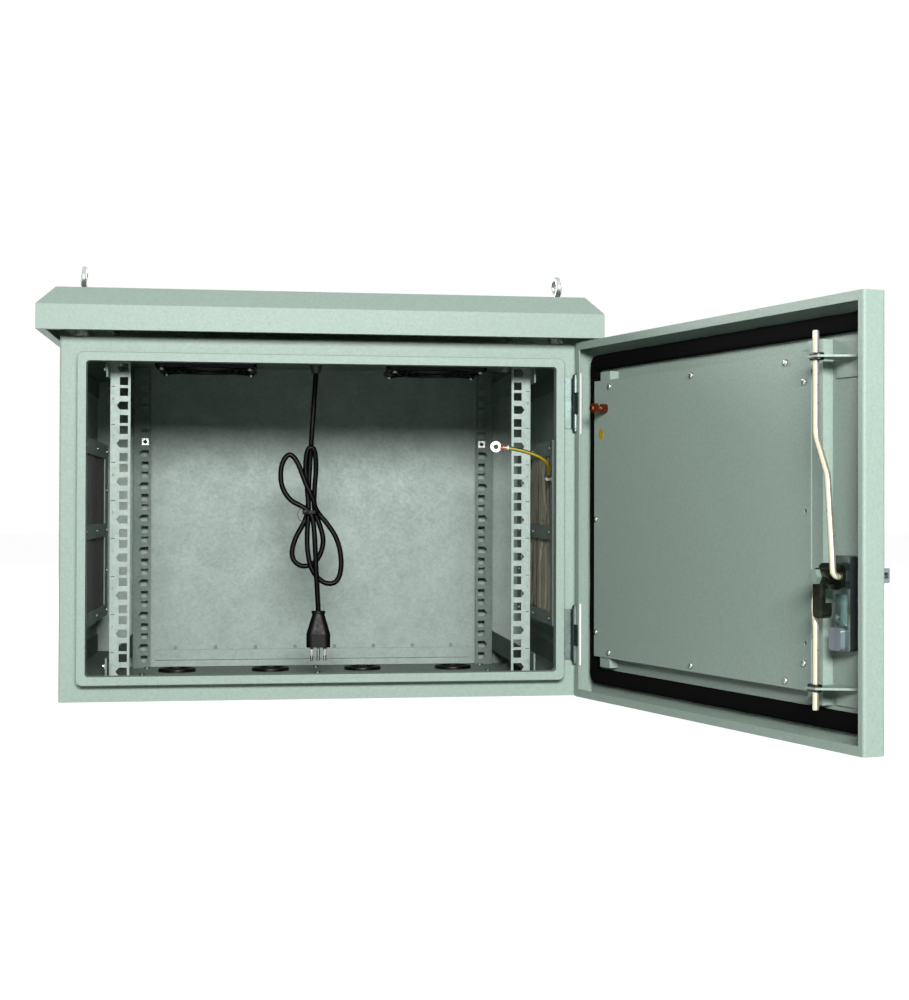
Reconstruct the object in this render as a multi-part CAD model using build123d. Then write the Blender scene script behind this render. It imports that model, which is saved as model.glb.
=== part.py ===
from build123d import *
import os
from math import cos, hypot, pi, radians, sin, tan

os.makedirs("parts", exist_ok=True)

# Frame: X to the right, Y into the cabinet, Z up. The origin is the centre of the cabinet's flat
# bottom face. Everything on the door is drawn with the door shut and then swung open at the end.

# ---- cabinet body ----
body_w = 600.0
body_d = 450.0
body_h = 417.5
sheet = 1.5
body_corner_r = 2.5
front_y = -body_d / 2
back_y = body_d / 2
floor_z = sheet
ceiling_z = body_h - sheet
wall_in = body_w / 2 - sheet

# opening and its raised rim, set in from the body's edges by flat margins
side_margin = 21.0
low_margin = 20.0
top_margin = 19.5
rim_band = 10.0
rim_h = 18.0
rim_out_w = body_w - 2 * side_margin
rim_out_z0 = low_margin
rim_out_z1 = body_h - top_margin
rim_out_r = 7.0
opening_w = rim_out_w - 2 * rim_band
opening_z0 = rim_out_z0 + rim_band
opening_z1 = rim_out_z1 - rim_band
opening_r = 4.0

# pressed louvres in the side walls
louvre_len = 104.0
louvre_proud = 6.0
louvre_h = 11.0
louvre_skin = 1.2
louvre_pitch = 17.0
louvre_rows = 5
louvre_row_z = (101.0, 207.0)
louvre_col_y = (front_y + 160.0, front_y + 290.0)

# rain hood
hood_side = 22.0
hood_front = 42.0
hood_gap = 3.0
hood_lip = 28.0
hood_rise = 21.5
hood_slope = 20.0
hood_hem = 10.0
hood_z0 = body_h + hood_gap
hood_z1 = hood_z0 + hood_lip
hood_z2 = hood_z1 + hood_rise
hood_x = body_w / 2 + hood_side
hood_y0 = front_y - hood_front

# lifting bolts at the hood's corners
eye_x = body_w / 2 - 24.0
eye_y = (front_y + 30.0, back_y - 30.0)
eye_rod_r = 4.0
eye_play = 0.3
eye_ring_r = 10.0
eye_wire_r = 3.6
eye_collar_r = 8.0
eye_collar_h = 6.0
spacer_r = 10.0
eye_nut_af = 13.0
eye_nut_h = 6.5

# 19-inch rails
unit = 44.45
units = 9
hole_offsets = (6.35, 22.225, 38.1)
hole_cols = 465.12
hole_side = 9.5
hole_point = 3.5
rail_unit_z0 = 7.6
rail_t = 2.0
rail_z1 = body_h - 5.5
rail_in_x = 225.0
rail_out_x = 248.0
front_rail_y = front_y + 51.6
front_rail_deep = 35.0
rear_rail_y = back_y - 25.0
rear_rail_deep = 20.0

# side bars that carry the rails
bar_t = 2.0
bar_h = 26.0
bar_z = (22.0, body_h - 45.5)
bar_y0 = front_y + 20.0
bar_y1 = back_y - 4.0
rail_bolt_r = 3.0
rail_bolt_af = 10.0
rail_bolt_head = 4.0
rail_nut_h = 5.0
front_bolt_y = front_rail_y + 18.4
rear_bolt_y = rear_rail_y + 11.0

# back panel, gland plate, strips and gussets
panel_t = 1.5
panel_y0 = back_y - sheet - panel_t
wall_hole_r = 4.5
wall_hole_x = body_w / 2 - 30.0
wall_hole_z = (14.0, body_h - 12.0)
gland_w = 470.0
gland_d = 110.0
gland_t = 2.0
gland_y = back_y - 104.0
gland_cut_w = 440.0
gland_cut_d = 64.0
gland_z1 = floor_z + gland_t
gland_screw_r = 2.0
strip_h = 14.0
strip_z0 = 10.8
strip_t = 3.0
strip_half = 219.0
rivet_r = 2.6
rivet_h = 1.6
back_rivet_z = 28.0
back_rivets = 8
gusset_leg = 34.0
gusset_t = 1.5
gusset_x = rail_in_x - 4.0
gusset_z = body_h - 79.5

# cable grommets
grommet_x = (-184.5, -61.5, 61.5, 184.5)
grommet_r = 24.5
grommet_hole_r = 20.0
grommet_play = 0.15
grommet_lip = 1.2
grommet_dome = 4.5
grommet_web = 1.5

# filter plates on the side walls
plate_x = body_w / 2 - 20.5
filt_y0 = front_y + 80.0
filt_y1 = front_y + 392.0
filt_z0 = 77.0
filt_z1 = 306.0
win_y0 = front_y + 95.0
win_y1 = front_y + 352.0
win_z = ((93.0, 183.0), (201.0, 287.0))
mat_t = 10.0
mat_lap = 4.0
filt_rivet_y = (front_y + 103.0, front_y + 238.0, front_y + 373.0)
filt_rivet_z = (85.0, 192.0, 296.5)

# ceiling fans
fan_x = 140.0
fan_y = front_y + 150.0
fan_side = 120.0
fan_h = 25.0
fan_bore_r = 57.0
fan_wall = 3.5
fan_screw_pitch = 105.0
fan_screw_r = 2.1
fan_head_r = 3.6
fan_hub_r = 20.0
fan_blades = 7
fan_tip_gap = 1.5
fan_shaft_r = 2.5
fan_run = 0.05
guard_wire_r = 0.9
guard_rings = (18.0, 27.0, 36.0, 45.0, 54.0)
vent_r = 56.0

# power cord from the ceiling
cord_r = 3.2
cord_x = -6.0
cord_y = front_y + 200.0
jbox_w = 70.0
jbox_d = 46.0
jbox_h = 8.0
gland_hex_h = 6.0
gland_tube_r = 7.5
gland_tube_h = 9.0
gland_tube_z0 = ceiling_z - jbox_h - gland_hex_h - gland_tube_h
hank_z1 = 291.5
hank_z0 = 130.0
hank_half_t = 10.0
tail_x = -4.2
tie_z = 216.5
tie_h = 4.0
tie_t = 1.3
tie_gap = 0.3
plug_top_z = 91.0
plug_low_z = 45.0
plug_x = -2.0
plug_w = 30.0
plug_d = 21.0
plug_collar_r = 8.6
pin_r = 2.0
pin_long = 17.0
pin_pitch = 8.3

# earth wire inside
wire_r = 2.0
lug_x = rail_in_x - 19.5
lug_z = 296.0
lug_r = 6.5
lug_bore_r = 3.2
lug_t = 1.2
lug_barrel = 5.0
stud_lug_r = 4.6
wall_stud_y = front_rail_y + front_rail_deep + stud_lug_r + 0.6
wall_stud_z = 258.0

# ---- door ----
door_w = body_w - 14.0
door_z0 = 0.0
door_z1 = body_h
door_t = 23.8
door_gap = 3.7
door_edge_x = body_w / 2 - 7.3
open_angle = 106.4
over_angle = 12.0
lip_hinge = 12.0
lip_free = 8.6
lip_end = 9.0
door_corner_r = 3.0
skin_y = front_y - door_gap - door_t
hinge_x = body_w / 2 - 6.0
hinge_y = front_y - 6.0

# foam gasket, on the line of the rim
foam_w = 18.0
foam_t_gap = 0.4
rim_front_n = door_t + door_gap - rim_h
foam_n1 = rim_front_n - foam_t_gap
foam_half = opening_w / 2 + rim_band / 2
foam_s0 = door_edge_x - foam_half + foam_w / 2
foam_s1 = door_edge_x + foam_half - foam_w / 2
foam_z0 = opening_z0 - rim_band / 2 + foam_w / 2
foam_z1 = opening_z1 + rim_band / 2 - foam_w / 2

# the lock's middle, set off from the foam's inner edge by its housing
house_half_w = 13.9
house_gap = 3.8
lock_s = foam_s1 - house_gap - house_half_w
lock_z = 159.8

# stiffening channels and inner cover plate, inside the foam
stiff_n = 12.5
stiff_t = 1.5
stiff_left = (foam_s0 + 18.3, foam_s0 + 42.3)
stiff_right = (lock_s - 60.0, lock_s - 35.0)
stiff_z0 = foam_z0 + 4.0
stiff_z1 = foam_z1 - 4.0
cover_s0 = foam_s0 + 5.3
cover_s1 = lock_s - 53.0
cover_z0 = foam_z0 + 15.6
cover_z1 = foam_z1 - 14.0
cover_t = 1.5
cover_edge = 7.0
cover_n1 = stiff_n + cover_t
screw_row_s = (cover_s0 + 39.4, cover_s0 + 228.2, cover_s1 - 42.8)
cover_screws = tuple((s, z) for s in screw_row_s for z in (cover_z1 - 7.8, cover_z0 + 6.5)) + (
    (cover_s0 + 6.0, cover_z0 + 159.8), (cover_s0 + 6.0, cover_z0 + 28.3),
    (cover_s1 - 10.8, cover_z0 + 25.6), (cover_s1 - 10.8, cover_z1 - 28.2))
cover_holes = ((cover_s1 - 9.5, cover_z0 + 169.2), (cover_s1 - 9.5, cover_z0 + 44.2))
cover_screw_r = 3.4
cover_screw_h = 2.4
cover_hole_r = 2.2
stud_s = stiff_left[0] + 17.0
stud_z = cover_z1 - 33.0
stud_r = 3.0
stud_long = 20.0
disc_s = cover_s0 + 18.2
disc_z = cover_z1 - 62.2
disc_r = 6.0
disc_t = 0.4

# hinges
hinge_pin_r = 2.5
hinge_run = 0.06
knuckle_r = 5.0
knuckle_gap = 0.2
hinge_top = body_h - 41.5
hinge_sets = ((hinge_top - 59.5, hinge_top - 42.6, hinge_top - 17.4, hinge_top),
              (42.4, 59.7, 84.5, 102.7))
pin_over = 4.5
pin_head_r = 3.6
leaf_body_t = 1.6
leaf_body_w = 12.0
leaf_door_t = 1.4

# ---- lock ----
cam_r = 14.0
rod_s = lock_s - cam_r
rod_r = 3.0
rod_n = 34.5
rod_run = 0.05
rod_top_z = door_z1 - 32.0
rod_low_z = 36.5
hook_r = 6.0
cam_t = 3.5
cam_n1 = rod_n - hook_r - 0.2
cam_n0 = cam_n1 - cam_t
cam_half_w = 20.0
cam_half_h = 12.0
tongue_n0 = rod_n + rod_r + 0.7
tongue_n1 = tongue_n0 + 4.0
tongue_len = 38.0
tongue_half_w = 7.5
tongue_root = 24.0
sleeve_r = 8.0
spindle_r = 5.0
spindle_run = 0.05
journal_r = 4.0
cam_bolt_af = 13.0
cam_bolt_h = 5.0
cam_bolt_r = 2.5

# rod guides
guide_z = (rod_top_z - 24.5, 57.0)
guide_play = (1.58, -1.62)
bush_half_slot = 5.7
bush_half_w = 3.25
bush_wall = 2.2
bush_h = 7.0
guide_t = 2.0
guide_s0 = lock_s - 32.0
guide_s1 = foam_s1 - 1.7
guide_foot = 18.0
guide_n1 = rod_n + bush_half_w + bush_wall

# lock housing inside
house_z0 = lock_z - 68.8
house_z1 = lock_z + 18.7
house_n1 = 16.0
pocket_z0 = lock_z - 45.3
pocket_z1 = lock_z - 16.8
pocket_half_w = 9.5
pocket_n0 = 6.0
cyl_z = lock_z - 58.8
cyl_r = 6.5

# handle outside
base_half_w = 15.0
base_z0 = lock_z - 97.8
base_z1 = lock_z + 22.2
base_h = 12.0
hub_r = 7.0
hub_top = 17.5
lever_half_w = 7.0
lever_long = 100.0
lever_axis_h = 27.0
lever_top = 35.0
lever_crown_r = 2.5
ear_r = 4.2
lever_floor = 22.3
fork_gap = 0.3
hub_tongue_half = 2.5
lever_pin_r = 2.0
lever_run = 0.05
lift_angle = 38.0


# helpers

def block(x0, x1, y0, y1, z0, z1):
    return Pos((x0 + x1) / 2, (y0 + y1) / 2, (z0 + z1) / 2) * Box(abs(x1 - x0), abs(y1 - y0),
                                                                abs(z1 - z0))


def rod_z(r, x, y, z0, z1):
    return Pos(x, y, (z0 + z1) / 2) * Cylinder(r, abs(z1 - z0))


def rod_y(r, x, z, y0, y1):
    return Pos(x, (y0 + y1) / 2, z) * Rot(90, 0, 0) * Cylinder(r, abs(y1 - y0))


def rod_x(r, y, z, x0, x1):
    return Pos((x0 + x1) / 2, y, z) * Rot(0, 90, 0) * Cylinder(r, abs(x1 - x0))


def hexagon_y(af, x, z, y0, y1):
    head = extrude(RegularPolygon(af / 2, 6, major_radius=False), abs(y1 - y0))
    return Pos(x, max(y0, y1), z) * Rot(90, 0, 0) * head


def hexagon_z(af, x, y, z0, z1):
    return Pos(x, y, min(z0, z1)) * extrude(RegularPolygon(af / 2, 6, major_radius=False), abs(z1 - z0))


def hexagon_x(af, y, z, x0, x1):
    return Pos(min(x0, x1), y, z) * Rot(0, 90, 0) * extrude(
        RegularPolygon(af / 2, 6, major_radius=False), abs(x1 - x0))


def window_y(w, z0, z1, r, y0, y1):
    """A rounded rectangle in the XZ plane, extruded along Y."""
    face = Pos(0, y0, (z0 + z1) / 2) * Rot(90, 0, 0) * RectangleRounded(w, z1 - z0, r)
    return extrude(face, amount=y1 - y0, dir=(0, 1, 0))


def prism_x(points, x0, x1):
    """Points are (y, z)."""
    face = make_face(Polyline(*[(x0, y, z) for y, z in points], close=True))
    return extrude(face, amount=x1 - x0, dir=(1, 0, 0))


def prism_y(points, y0, y1):
    """Points are (x, z)."""
    face = make_face(Polyline(*[(x, y0, z) for x, z in points], close=True))
    return extrude(face, amount=y1 - y0, dir=(0, 1, 0))


def prism_z(points, z0, z1):
    face = make_face(Polyline(*[(x, y, z0) for x, y in points], close=True))
    return extrude(face, amount=z1 - z0, dir=(0, 0, 1))


def door_x(s):
    return door_edge_x - s


def door_y(n):
    return skin_y + n


def on_door(s0, s1, n0, n1, z0, z1):
    return block(door_x(s1), door_x(s0), door_y(n0), door_y(n1), z0, z1)


def door_rod(r, s, z, n0, n1):
    return rod_y(r, door_x(s), z, door_y(n0), door_y(n1))


def tube(points, r, name):
    """Straight runs joined by tangent arcs as large as the runs allow."""
    corners = []
    for a, b, c in zip(points, points[1:], points[2:]):
        u = Vector(*b) - Vector(*a)
        v = Vector(*c) - Vector(*b)
        turn = radians(u.get_angle(v))
        corners.append(0.45 * min(u.length, v.length) / tan(turn / 2))
    path = FilletPolyline(*points, radius=corners)
    start = Plane(origin=path @ 0, z_dir=path % 0)
    solid = sweep(start * Circle(r), path=path)
    print(name, "radii", [round(c, 1) for c in corners], "least", round(min(corners) / (2 * r), 1),
          "diameters; volume over section times length",
          round(solid.volume / (pi * r * r * path.length), 5), "length", round(path.length, 1))
    return solid


def solids_of(parts):
    found = []
    for part in parts:
        found += part.solids()
    return Compound(found)


nodes = {}
swung = {}


# Body shell: one folded box with a raised rim round its opening, hooded louvres in both sides,
# round vents over the fans and a cut-out under the gland plate.

def make_body_shell():
    outer = block(-body_w / 2, body_w / 2, front_y, back_y, 0, body_h)
    top_fold = [e for e in outer.edges().filter_by(Axis.X)
                if abs(e.center().Y - front_y) < 0.01 and e.center().Z > body_h / 2]
    outer = fillet(outer.edges().filter_by(Axis.Z) + top_fold, body_corner_r)
    inner = block(-wall_in, wall_in, front_y + sheet, back_y - sheet, floor_z, ceiling_z)
    shell = outer - inner
    shell += window_y(rim_out_w, rim_out_z0, rim_out_z1, rim_out_r, front_y - rim_h, front_y + sheet)
    front = shell.edges().filter_by(GeomType.LINE).filter_by(Plane.XZ)
    front = [e for e in front if abs(e.center().Y - (front_y - rim_h)) < 0.01]
    shell = fillet(front, 1.2)
    shell -= window_y(opening_w, opening_z0, opening_z1, opening_r, front_y - rim_h - 1, front_y + 5)
    groove = window_y(rim_out_w - 2 * sheet, rim_out_z0 + sheet, rim_out_z1 - sheet,
                      rim_out_r - sheet, front_y - rim_h + sheet, front_y + sheet + 0.1)
    groove -= window_y(opening_w + 2 * sheet, opening_z0 - sheet, opening_z1 + sheet,
                       opening_r + sheet, front_y - rim_h, front_y + 5)
    shell -= groove
    for x in (-fan_x, fan_x):
        shell -= rod_z(vent_r, x, fan_y, ceiling_z - 1, body_h + 1)
    shell -= block(-gland_cut_w / 2, gland_cut_w / 2, gland_y - gland_cut_d / 2,
                   gland_y + gland_cut_d / 2, -1, floor_z + 1)
    for x in (-eye_x, eye_x):
        for y in eye_y:
            shell -= rod_z(eye_rod_r + eye_play, x, y, ceiling_z - 1, body_h + 1)
    for x in (-wall_hole_x, wall_hole_x):
        for z in wall_hole_z:
            shell -= rod_y(wall_hole_r, x, z, back_y - sheet - 1, back_y + 1)
    hoods = []
    slots = []
    side = body_w / 2
    for sx in (-1, 1):
        for yc in louvre_col_y:
            for z0 in louvre_row_z:
                for row in range(louvre_rows):
                    z = z0 + row * louvre_pitch
                    top = z + louvre_h
                    out = [(side - 0.5, top), (side, top), (side + louvre_proud, z + 1.5),
                           (side + louvre_proud, z), (side - 0.5, z)]
                    hollow = [(side - sheet - 1, top - 2 * louvre_skin),
                              (side - 0.6, top - 2.4 * louvre_skin),
                              (side + louvre_proud - louvre_skin, z + 1.1),
                              (side + louvre_proud - louvre_skin, z - 0.1), (side - sheet - 1, z - 0.1)]
                    out = [(sx * x, zz) for x, zz in out]
                    hollow = [(sx * x, zz) for x, zz in hollow]
                    hoods.append(prism_y(out, yc - louvre_len / 2, yc + louvre_len / 2))
                    slots.append(prism_y(hollow, yc - louvre_len / 2 + louvre_skin,
                                         yc + louvre_len / 2 - louvre_skin))
    shell = shell + hoods
    shell = shell - slots
    return shell


nodes["body_shell"] = make_body_shell()


# Back panel, gland plate, the bottom strip with its rivets, and the two top gussets.

def make_back():
    panel = block(-wall_in, wall_in, panel_y0, panel_y0 + panel_t, floor_z, ceiling_z)
    for x in (-wall_hole_x, wall_hole_x):
        for z in wall_hole_z:
            panel -= rod_y(wall_hole_r, x, z, panel_y0 - 1, panel_y0 + panel_t + 1)
    nodes["back_panel"] = panel
    strip = block(-strip_half, strip_half, panel_y0 - strip_t, panel_y0, strip_z0, strip_z0 + strip_h)
    nodes["back_strip"] = strip
    step = 2 * strip_half / back_rivets
    heads = []
    for i in range(back_rivets):
        x = -strip_half + step * (i + 0.5)
        heads.append(rod_y(rivet_r, x, back_rivet_z, panel_y0 - rivet_h, panel_y0))
    nodes["back_rivets"] = solids_of(heads)
    corners = []
    for sx in (-1, 1):
        tri = [(sx * gusset_x, gusset_z), (sx * (gusset_x - gusset_leg), gusset_z),
               (sx * gusset_x, gusset_z - gusset_leg)]
        corners.append(prism_y(tri, panel_y0 - gusset_t, panel_y0))
    nodes["corner_gussets"] = solids_of(corners)


make_back()


def make_gland_plate():
    y0 = gland_y - gland_d / 2
    y1 = gland_y + gland_d / 2
    plate = block(-gland_w / 2, gland_w / 2, y0, y1, floor_z, gland_z1)
    plate = fillet(plate.edges().filter_by(Axis.Z), 4)
    for x in grommet_x:
        plate -= rod_z(grommet_hole_r, x, gland_y, floor_z - 1, gland_z1 + 1)
    nodes["gland_plate"] = plate
    screws = []
    for x in (-gland_w / 2 + 8, 0, gland_w / 2 - 8):
        for y in (y0 + 8, y1 - 8):
            screws.append(rod_z(gland_screw_r * 1.9, x, y, gland_z1, gland_z1 + 2))
    nodes["gland_screws"] = solids_of(screws)
    rubbers = []
    for x in grommet_x:
        low = rod_z(grommet_r - 2, x, gland_y, floor_z - grommet_lip, floor_z)
        neck = rod_z(grommet_hole_r - grommet_play, x, gland_y, floor_z - 0.01, gland_z1 + 0.01)
        top = rod_z(grommet_r, x, gland_y, gland_z1, gland_z1 + grommet_dome)
        top = fillet(top.edges().group_by(Axis.Z)[-1], 1.8)
        hollow = rod_z(grommet_hole_r - 3, x, gland_y, gland_z1 + grommet_dome - 2.5,
                       gland_z1 + grommet_dome + 1)
        under = rod_z(grommet_hole_r - 3, x, gland_y, floor_z - 2,
                      gland_z1 + grommet_dome - 2.5 - grommet_web)
        nub = Pos(x, gland_y, gland_z1 + grommet_dome - 2.5) * Cone(7, 4, 2.2, align=(
            Align.CENTER, Align.CENTER, Align.MIN))
        rubbers.append(low + neck + top - hollow - under + nub)
    nodes["floor_grommets"] = solids_of(rubbers)


make_gland_plate()


# Rain hood: one folded sheet with sloped shoulders, a vertical lip and a small hem. It stands
# clear over the body on four spacers, so the lip leaves a dark gap above the body's top edge.

def hood_solid(t):
    """The hood's outer form, or what lies inside its sheet when t is not nought."""
    slope = hypot(hood_slope, hood_rise)
    px = t * hood_rise / slope
    pz = -t * hood_slope / slope
    z1 = hood_z1 + pz + (t - px) * hood_rise / hood_slope
    top = hood_z2 - t
    inset = hood_slope + px - (hood_rise + pz - (top - hood_z1)) * hood_slope / hood_rise
    back = back_y - t
    x = hood_x - t
    y0 = hood_y0 + t
    z0 = hood_z0 - (1 if t else 0)
    low = block(-x, x, y0, back, z0, z1)
    a = hood_x - inset
    b = hood_y0 + inset
    base = make_face(Polyline((-x, y0, z1), (x, y0, z1), (x, back, z1), (-x, back, z1), close=True))
    head = make_face(Polyline((-a, b, top), (a, b, top), (a, back, top), (-a, back, top), close=True))
    return low + loft([base, head])


def make_hood():
    hood = hood_solid(0) - hood_solid(sheet)
    hem = block(-hood_x, hood_x, hood_y0, back_y, hood_z0, hood_z0 + sheet)
    hem -= block(-hood_x + hood_hem, hood_x - hood_hem, hood_y0 + hood_hem, back_y - sheet,
                 hood_z0 - 1, hood_z0 + sheet + 1)
    hood += hem
    for x in (-eye_x, eye_x):
        for y in eye_y:
            hood -= rod_z(eye_rod_r + eye_play, x, y, hood_z2 - 5, hood_z2 + 1)
    return hood


nodes["rain_hood"] = make_hood()


def make_eyes():
    spacers, eyes, nuts = [], [], []
    for x in (-eye_x, eye_x):
        for y in eye_y:
            spacers.append(rod_z(spacer_r, x, y, body_h, hood_z2 - sheet)
                           - rod_z(eye_rod_r + eye_play, x, y, body_h - 1, hood_z2))
            collar = Pos(x, y, hood_z2) * Cone(eye_collar_r, 5.0, eye_collar_h, align=(
                Align.CENTER, Align.CENTER, Align.MIN))
            shank = rod_z(eye_rod_r, x, y, ceiling_z - eye_nut_h - 6, hood_z2 + 1)
            zc = hood_z2 + eye_collar_h + eye_ring_r + eye_wire_r - 3.0
            turn = 0 if x < 0 else 12
            ring = Pos(x, y, zc) * Rot(0, 0, turn) * Rot(0, 90, 0) * Torus(eye_ring_r, eye_wire_r)
            eyes.append(collar + shank + ring)
            nuts.append(hexagon_z(eye_nut_af, x, y, ceiling_z - eye_nut_h, ceiling_z)
                        - rod_z(eye_rod_r + 0.05, x, y, ceiling_z - eye_nut_h - 1, ceiling_z + 1))
    nodes["hood_spacers"] = solids_of(spacers)
    nodes["lifting_eyes"] = solids_of(eyes)
    nodes["eye_nuts"] = solids_of(nuts)


make_eyes()


# Rails: an L of punched sheet, square holes with a pointed one in the middle of each unit.

def make_rail(side, y0, deep):
    x_in = side * rail_in_x
    x_out = side * rail_out_x
    rail = block(x_in, x_out, y0, y0 + rail_t, floor_z, rail_z1)
    rail += block(x_out - side * rail_t, x_out, y0, y0 + deep, floor_z, rail_z1)
    xc = side * hole_cols / 2
    h = hole_side / 2
    cuts = []
    for u in range(units):
        for k, off in enumerate(hole_offsets):
            z = rail_unit_z0 + u * unit + off
            pts = [(xc - side * h, z - h), (xc - side * h, z + h), (xc + side * h, z + h)]
            if k == 1:
                pts.append((xc + side * (h + hole_point), z))
            pts.append((xc + side * h, z - h))
            cuts.append(prism_y(pts, y0 - 1, y0 + rail_t + 1))
    rail = rail - cuts
    bolt_y = front_bolt_y if y0 == front_rail_y else rear_bolt_y
    for z in bar_z:
        rail -= rod_x(rail_bolt_r + 0.1, bolt_y, z + bar_h / 2, x_out - side * 5, x_out + side * 1)
    return rail


for label, side in (("left", -1), ("right", 1)):
    nodes["front_rail_" + label] = make_rail(side, front_rail_y, front_rail_deep)
    nodes["rear_rail_" + label] = make_rail(side, rear_rail_y, rear_rail_deep)


# Side bars: a U-section from the side wall out to the rails, with the rail bolts and their nuts.

def make_bars():
    bars, bolts, nuts = [], [], []
    for side in (-1, 1):
        for z in bar_z:
            low = z == bar_z[0]
            wall = side * wall_in
            inner = side * rail_out_x
            web_z = z if low else z + bar_h - bar_t
            bar = block(inner, wall, bar_y0, bar_y1, web_z, web_z + bar_t)
            bar += block(inner, inner + side * bar_t, bar_y0, bar_y1, z, z + bar_h)
            bar += block(wall - side * bar_t, wall, bar_y0, bar_y1, z, z + bar_h)
            zc = z + bar_h / 2
            for y in (front_bolt_y, rear_bolt_y):
                bar -= rod_x(rail_bolt_r + 0.1, y, zc, inner - side, inner + side * (bar_t + 1))
                face = inner - side * rail_t
                bolt = hexagon_x(rail_bolt_af, y, zc, face - side * rail_bolt_head, face)
                bolt += rod_x(rail_bolt_r, y, zc, face - side * 0.5, inner + side * (bar_t + rail_nut_h + 2))
                bolts.append(bolt)
                nut = hexagon_x(rail_bolt_af, y, zc, inner + side * bar_t,
                                inner + side * (bar_t + rail_nut_h))
                nuts.append(nut - rod_x(rail_bolt_r + 0.05, y, zc, inner, inner + side * 20))
            bars.append(bar)
    nodes["side_bars"] = solids_of(bars)
    nodes["rail_bolts"] = solids_of(bolts)
    nodes["rail_nuts"] = solids_of(nuts)


make_bars()


# Filter plates: a shallow tray with two windows over the louvres, its mats, and its rivets.

def make_filters():
    rivets = []
    for label, side in (("left", -1), ("right", 1)):
        face = side * plate_x
        wall = side * wall_in
        tray = block(face, wall, filt_y0, filt_y1, filt_z0, filt_z1)
        tray -= block(face + side * sheet, wall + side, filt_y0 + sheet, filt_y1 - sheet,
                      filt_z0 + sheet, filt_z1 - sheet)
        for z0, z1 in win_z:
            tray -= block(face - side, face + side * 3, win_y0, win_y1, z0, z1)
        tray -= rod_x(2.0, wall_stud_y, wall_stud_z, face - side, face + side * 3)
        nodes["filter_plate_" + label] = tray
        mats = [block(face + side * sheet, face + side * (sheet + mat_t), win_y0 - mat_lap,
                      win_y1 + mat_lap, z0 - mat_lap, z1 + mat_lap) for z0, z1 in win_z]
        nodes["filter_mats_" + label] = solids_of(mats)
        for y in filt_rivet_y:
            for z in filt_rivet_z:
                rivets.append(rod_x(rivet_r, y, z, face - side * rivet_h, face))
        for z in (138.0, 245.0):
            rivets.append(rod_x(rivet_r, filt_rivet_y[-1], z, face - side * rivet_h, face))
    nodes["filter_rivets"] = solids_of(rivets)


make_filters()


# Ceiling fans: a square housing with four struts, a rotor on the shaft that stands in the
# stator boss, and a wire guard below.

def make_fans():
    top = ceiling_z
    low = top - fan_h
    housings, guards, screws = [], [], []
    for label, x in (("left", -fan_x), ("right", fan_x)):
        half = fan_side / 2
        house = block(x - half, x + half, fan_y - half, fan_y + half, low, top)
        house = fillet(house.edges().filter_by(Axis.Z), 5)
        house -= rod_z(fan_bore_r, x, fan_y, low - 1, top + 1)
        waist = block(x - half - 1, x + half + 1, fan_y - half - 1, fan_y + half + 1, low + 4, top - 4)
        waist -= rod_z(fan_bore_r + fan_wall, x, fan_y, low, top)
        house -= waist
        for a in (45, 135, 225, 315):
            strut = Pos(x, fan_y, top - 1.5) * Rot(0, 0, a) * Pos(fan_bore_r / 2 + 5, 0, 0) * Box(
                fan_bore_r + 1, 5, 3)
            house += strut
        house += rod_z(fan_hub_r, x, fan_y, top - 3, top)
        house += rod_z(fan_shaft_r, x, fan_y, low + 5, top - 2)
        d = fan_screw_pitch / 2
        for dx in (-d, d):
            for dy in (-d, d):
                house -= rod_z(fan_screw_r, x + dx, fan_y + dy, low - 1, top + 1)
                g = rod_z(fan_head_r, x + dx, fan_y + dy, low - 4.2, low - 2 * guard_wire_r)
                g += rod_z(fan_screw_r - 0.1, x + dx, fan_y + dy, low - 2, low + 5)
                screws.append(g)
        housings.append(house)
        hub = rod_z(fan_hub_r, x, fan_y, low + 2, top - 4)
        hub = fillet(hub.edges().group_by(Axis.Z)[0], 2)
        tip = fan_bore_r - fan_tip_gap
        blades = []
        for i in range(fan_blades):
            blade = Pos(x, fan_y, (low + top) / 2 - 1) * Rot(0, 0, 360 / fan_blades * i) * Pos(
                (fan_hub_r + tip) / 2, 0, 0) * Rot(38, 0, 0) * Box(tip - fan_hub_r + 3, 24, 1.4)
            blades.append(blade)
        rotor = hub + blades
        ring = rod_z(tip, x, fan_y, low + 2, top - 4)
        rotor = rotor & ring
        rotor -= rod_z(fan_shaft_r + fan_run, x, fan_y, low + 4.8, top)
        nodes["fan_rotor_" + label] = rotor
        zg = low - guard_wire_r
        guard = None
        for r in guard_rings:
            w = Pos(x, fan_y, zg) * Torus(r, guard_wire_r)
            guard = w if guard is None else guard + w
        for a in (45, 135, 225, 315):
            reach = d * 2 ** 0.5 - fan_head_r - 0.3
            guard += Pos(x, fan_y, zg - guard_wire_r / 2) * Rot(0, 0, a) * Pos((reach + 16) / 2, 0, 0) * Box(
                reach - 16, 2.2 * guard_wire_r, 2.2 * guard_wire_r)
            eye = Pos(x, fan_y, zg) * Rot(0, 0, a) * Pos(d * 2 ** 0.5, 0, 0) * (
                Cylinder(fan_head_r + 0.8, 2 * guard_wire_r) - Cylinder(fan_screw_r, 4))
            guard += eye
        guards.append(guard)
    nodes["fan_housings"] = solids_of(housings)
    nodes["fan_guards"] = solids_of(guards)
    nodes["fan_screws"] = solids_of(screws)


make_fans()


# Power cord: connection box and gland on the ceiling, drop, tied hank, tail and plug.

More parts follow.
